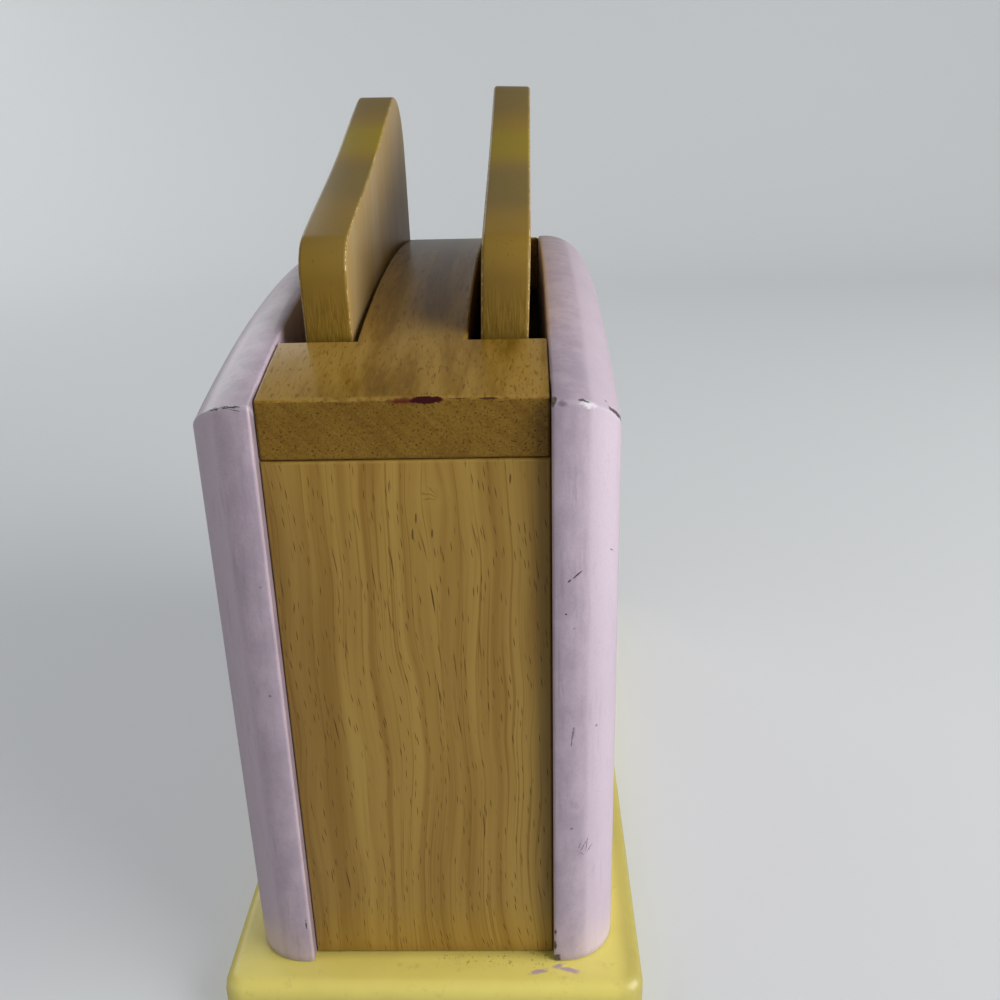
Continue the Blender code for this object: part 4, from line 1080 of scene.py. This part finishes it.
class TOASTER_OT_bread_slices(bpy.types.Operator):
    """Two bread slices with rounded edges, tilted by their flare and leaning in their slots"""

    bl_idname = "toaster.bread_slices"
    bl_label = "Bread Slices"

    def execute(self, context):
        sizes = context.scene.toaster_sizes
        colours = context.scene.toaster_colours
        half = sizes.slice_thickness / 2
        profile = edge_profile(2 * half, sizes.slice_round, sizes.slice_round, 5, 5)
        for name, lobe_width, lean, seed, band_place in (
                ("left", sizes.left_lobe_width, sizes.left_lean, (1, 5, 2), 2.0),
                ("right", sizes.right_lobe_width, sizes.right_lean, (6, 2, 9), -10.0)):
            outline, flare = slice_outline(sizes, lobe_width)
            turn = np.array(Matrix.Rotation(lean, 3, "Y") @ Matrix.Rotation(flare, 3, "X"))
            low, high = node_box("toast_slice_%s" % name)

            def turned(a, b, height):
                return stacked(height - half, a, b) @ turn.T

            rounds = (sizes.slice_round, 2 * half - sizes.slice_round)
            body = np.concatenate([turned(*outline.T, np.full(len(outline), height))
                                   for height in rounds])
            shift = (low + high) / 2 - (body.min(axis=0) + body.max(axis=0)) / 2
            piece = slab("toast_slice_%s_rounded" % name, lambda step: inset(outline, step),
                         profile, lambda a, b, height: turned(a, b, height) + shift,
                         np.array([sizes.slice_length / 2, 0.0]))
            dress(piece, slice_finish(colours, "slice_wood_%s" % name, seed, band_place))
            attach(piece, "toast_%s" % name)
            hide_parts("toast_slice_%s" % name)
        return {"FINISHED"}


class TOASTER_OT_lever_knob(bpy.types.Operator):
    """Turned lever knob with a narrower collar"""

    bl_idname = "toaster.lever_knob"
    bl_label = "Lever Knob"

    def execute(self, context):
        sizes = context.scene.toaster_sizes
        radius = (KNOB_HIGH[0] - KNOB_LOW[0]) / 2
        length = KNOB_HIGH[1] - KNOB_LOW[1]
        middle = (KNOB_LOW[2] + KNOB_HIGH[2]) / 2
        collar, ease = sizes.knob_collar, sizes.knob_collar_ease
        rim = arc((collar - ease, ease), ease, -QUARTER_TURN, 0, 4)
        cove = arc((collar, sizes.knob_collar_length + radius - collar), radius - collar,
                   -QUARTER_TURN, 0, 8)
        nose = arc((radius - sizes.knob_round, length - sizes.knob_round), sizes.knob_round,
                   0, QUARTER_TURN, 10)
        profile = [(0.0, 0.0), *rim.tolist(), *cove.tolist(), *nose.tolist(), (0.0, length)]
        knob = turned_surface("lever_knob_turned", profile, lambda a, b, height: stacked(
            a, KNOB_LOW[1] + height, middle + b))
        dress(knob, yellow_finish(context.scene.toaster_colours, "yellow_paint_knob"))
        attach(knob, "lift")
        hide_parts("lever_knob")
        return {"FINISHED"}


class TOASTER_OT_lift_springs(bpy.types.Operator):
    """Two lift springs, each one wire wound round its guide rod"""

    bl_idname = "toaster.lift_springs"
    bl_label = "Lift Springs"

    def execute(self, context):
        sizes = context.scene.toaster_sizes
        material = steel_finish(context.scene.toaster_colours, "spring_steel")
        turns = sizes.spring_turns
        turn = np.linspace(0, turns, turns * 24 + 1)
        angle = FULL_TURN * turn
        out = stacked(np.cos(angle), np.sin(angle), 0 * angle)
        around = np.linspace(0, FULL_TURN, 10, endpoint=False)[None, :, None]
        section = sizes.wire_radius * (np.cos(around) * out[:, None] + np.sin(around) * [Z])
        for name in ("near", "far"):
            low, high = node_box("spring_" + name)
            centre = sum(node_box("guide_rod_" + name)) / 2
            full = high[2] - low[2]
            length = full - 2 * sizes.wire_radius
            rise = np.interp(turn, (0, 1, turns - 1, turns),
                             (0, sizes.spring_end_pitch, length - sizes.spring_end_pitch, length))
            middle = out * sizes.spring_radius + (*centre[:2], low[2] + sizes.wire_radius)
            middle[:, 2] += rise
            wire = closed_surface("spring_%s_wire" % name, middle[:, None] + section,
                                  middle[0], middle[-1])
            dress(wire, material)
            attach(wire, "housing")
            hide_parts("spring_" + name)
            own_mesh(wire)
        return {"FINISHED"}


class TOASTER_OT_base(bpy.types.Operator):
    """Finish of the base board, with its rounded edge and screw holes"""

    bl_idname = "toaster.base"
    bl_label = "Base Board"

    def execute(self, context):
        colours = context.scene.toaster_colours
        polish("base_board", yellow_finish(colours, "yellow_paint_base", add_base_marks))
        return {"FINISHED"}


class TOASTER_OT_dial(bpy.types.Operator):
    """Finish of the turning dial, its peg and its washer"""

    bl_idname = "toaster.dial"
    bl_label = "Dial"

    def execute(self, context):
        colours = context.scene.toaster_colours
        polish("dial_knob", yellow_finish(colours, "yellow_paint_dial", add_notch))
        polish("dial_peg", bare_wood_finish(colours, "peg_wood", X))
        polish("dial_washer", steel_finish(colours, "washer_steel"))
        return {"FINISHED"}


class TOASTER_OT_inner_pieces(bpy.types.Operator):
    """Finish of the shelf, lever bar, rods, dowels and screws"""

    bl_idname = "toaster.inner_pieces"
    bl_label = "Inner Pieces"

    def execute(self, context):
        colours = context.scene.toaster_colours
        across = bare_wood_finish(colours, "bare_wood_across", X)
        lengthwise = bare_wood_finish(colours, "bare_wood_long", Y)
        upright = bare_wood_finish(colours, "bare_wood_upright", Z)
        steel = steel_finish(colours, "screw_steel")
        for starts, material in ((("lift_shelf", "lever_arm"), lengthwise),
                                 (("guide_rod", "top_dowel"), upright),
                                 (("side_dowel",), across),
                                 (("base_screw", "lever_screw"), steel)):
            for name in sorted(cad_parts):
                if name.startswith(starts):
                    polish(name, material)
        return {"FINISHED"}


class TOASTER_OT_stage(bpy.types.Operator):
    """Pale floor sweeping up to a backdrop, soft lamps and the camera"""

    bl_idname = "toaster.stage"
    bl_label = "Stage"

    def execute(self, context):
        scene = context.scene
        stage = scene.toaster_stage
        scene.view_settings.view_transform = "Standard"
        self.floor(tuple(scene.toaster_colours.floor), stage.backdrop_glow)

        world = bpy.data.worlds.new("room")
        world.use_nodes = True
        room = world.node_tree.nodes["Background"]
        room.inputs["Color"].default_value = (*COOL_WHITE, 1.0)
        room.inputs["Strength"].default_value = stage.room_light
        scene.world = world

        self.lamp("key", (1.1, -0.45, 0.58), 1.1, stage.key_power, (1.0, 0.99, 0.97))
        self.lamp("fill", (-1.0, -0.4, 0.4), 0.9, stage.fill_power, (1.0, 0.95, 0.92))
        self.lamp("window", (-0.8, 1.15, 0.7), 0.9, stage.window_power, (0.97, 0.99, 1.0), 0.12)

        camera = bpy.data.cameras.new("camera")
        camera.sensor_width = 36.0
        camera.lens = stage.focal_length
        camera.clip_start = 0.01
        holder = bpy.data.objects.new("camera", camera)
        scene.collection.objects.link(holder)
        turn = (Matrix.Rotation(stage.yaw, 4, "Z")
                @ Matrix.Rotation(QUARTER_TURN - stage.pitch, 4, "X")
                @ Matrix.Rotation(stage.roll, 4, "Z"))
        holder.matrix_world = Matrix.Translation(stage.camera_place) @ turn
        scene.camera = holder
        return {"FINISHED"}

    def floor(self, colour, glow, reach=3.0, half=3.5, wall=1.4, bend=0.5, height=3.5):
        """Sweep the path (y, z) of floor, bend and wall along x; wall is where it stands."""
        path = np.vstack([[(-reach, 0.0)],
                          arc((wall - bend, bend), bend, -QUARTER_TURN, 0, 24), [(wall, height)]])
        points = np.vstack([np.insert(path, 0, x, axis=1) for x in (-half, half)])
        i = np.arange(len(path) - 1)
        faces = np.stack([i, i + len(path), i + len(path) + 1, i + 1], axis=-1).tolist()
        mesh = bpy.data.meshes.new("backdrop")
        mesh.from_pydata(points.tolist(), [], faces)
        mesh.shade_smooth()
        floor = bpy.data.objects.new("backdrop", mesh)
        bpy.context.scene.collection.objects.link(floor)
        look = Finish("pale_floor")
        seen = look.add("LightPath", {}, "Is Camera Ray")
        look.colour = colour
        look.paint((0.5, 0.5, 0.5), look.noise(0.5), 0.04)
        look.colour = look.mix(seen, FLOOR_BOUNCE, look.colour)
        look.put(look.shader.inputs["Emission Color"], COOL_WHITE)
        look.put(look.shader.inputs["Emission Strength"], look.both(seen, glow))
        dress(floor, look.finish(0.85))

    def lamp(self, name, place, size, power, colour, shine=1.0):
        """Square soft lamp aimed at the toaster's middle; shine is its share in highlights."""
        light = bpy.data.lights.new(name, "AREA")
        light.shape = "SQUARE"
        light.size = size
        light.energy = power
        light.color = colour
        light.specular_factor = shine
        obj = bpy.data.objects.new(name, light)
        obj.location = place
        aim = Vector((0, 0, 0.1)) - Vector(place)
        obj.rotation_euler = aim.to_track_quat("-Z", "Y").to_euler()
        bpy.context.scene.collection.objects.link(obj)


class TOASTER_PT_looks(bpy.types.Panel):
    """Lists the steps that build the toaster's looks"""

    bl_idname = "TOASTER_PT_looks"
    bl_label = "Toy Toaster"
    bl_space_type = "VIEW_3D"
    bl_region_type = "UI"
    bl_category = "Toaster"

    def draw(self, context):
        layout = self.layout
        for operator in OPERATORS:
            layout.operator(operator.bl_idname)
        for group in ("toaster_sizes", "toaster_colours", "toaster_stage"):
            box = layout.box()
            settings = getattr(context.scene, group)
            for key in settings.__annotations__:
                box.prop(settings, key)


OPERATORS = (
    TOASTER_OT_stage,
    TOASTER_OT_base,
    TOASTER_OT_side_boards,
    TOASTER_OT_end_panels,
    TOASTER_OT_top_block,
    TOASTER_OT_bread_slices,
    TOASTER_OT_lever_knob,
    TOASTER_OT_lift_springs,
    TOASTER_OT_dial,
    TOASTER_OT_inner_pieces,
)
GROUPS = (ToasterSizes, ToasterColours, ToasterStage)


def register():
    for cls in (*GROUPS, *OPERATORS, TOASTER_PT_looks):
        bpy.utils.register_class(cls)
    bpy.types.Scene.toaster_sizes = PointerProperty(type=ToasterSizes)
    bpy.types.Scene.toaster_colours = PointerProperty(type=ToasterColours)
    bpy.types.Scene.toaster_stage = PointerProperty(type=ToasterStage)


def unregister():
    del bpy.types.Scene.toaster_stage
    del bpy.types.Scene.toaster_colours
    del bpy.types.Scene.toaster_sizes
    for cls in reversed((*GROUPS, *OPERATORS, TOASTER_PT_looks)):
        bpy.utils.unregister_class(cls)


def main():
    """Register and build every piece."""
    register()
    bpy.ops.toaster.stage()
    bpy.ops.toaster.base()
    bpy.ops.toaster.side_boards()
    bpy.ops.toaster.end_panels()
    bpy.ops.toaster.top_block()
    bpy.ops.toaster.bread_slices()
    bpy.ops.toaster.lever_knob()
    bpy.ops.toaster.lift_springs()
    bpy.ops.toaster.dial()
    bpy.ops.toaster.inner_pieces()
    bpy.context.view_layer.update()


if __name__ == "__main__":
    main()
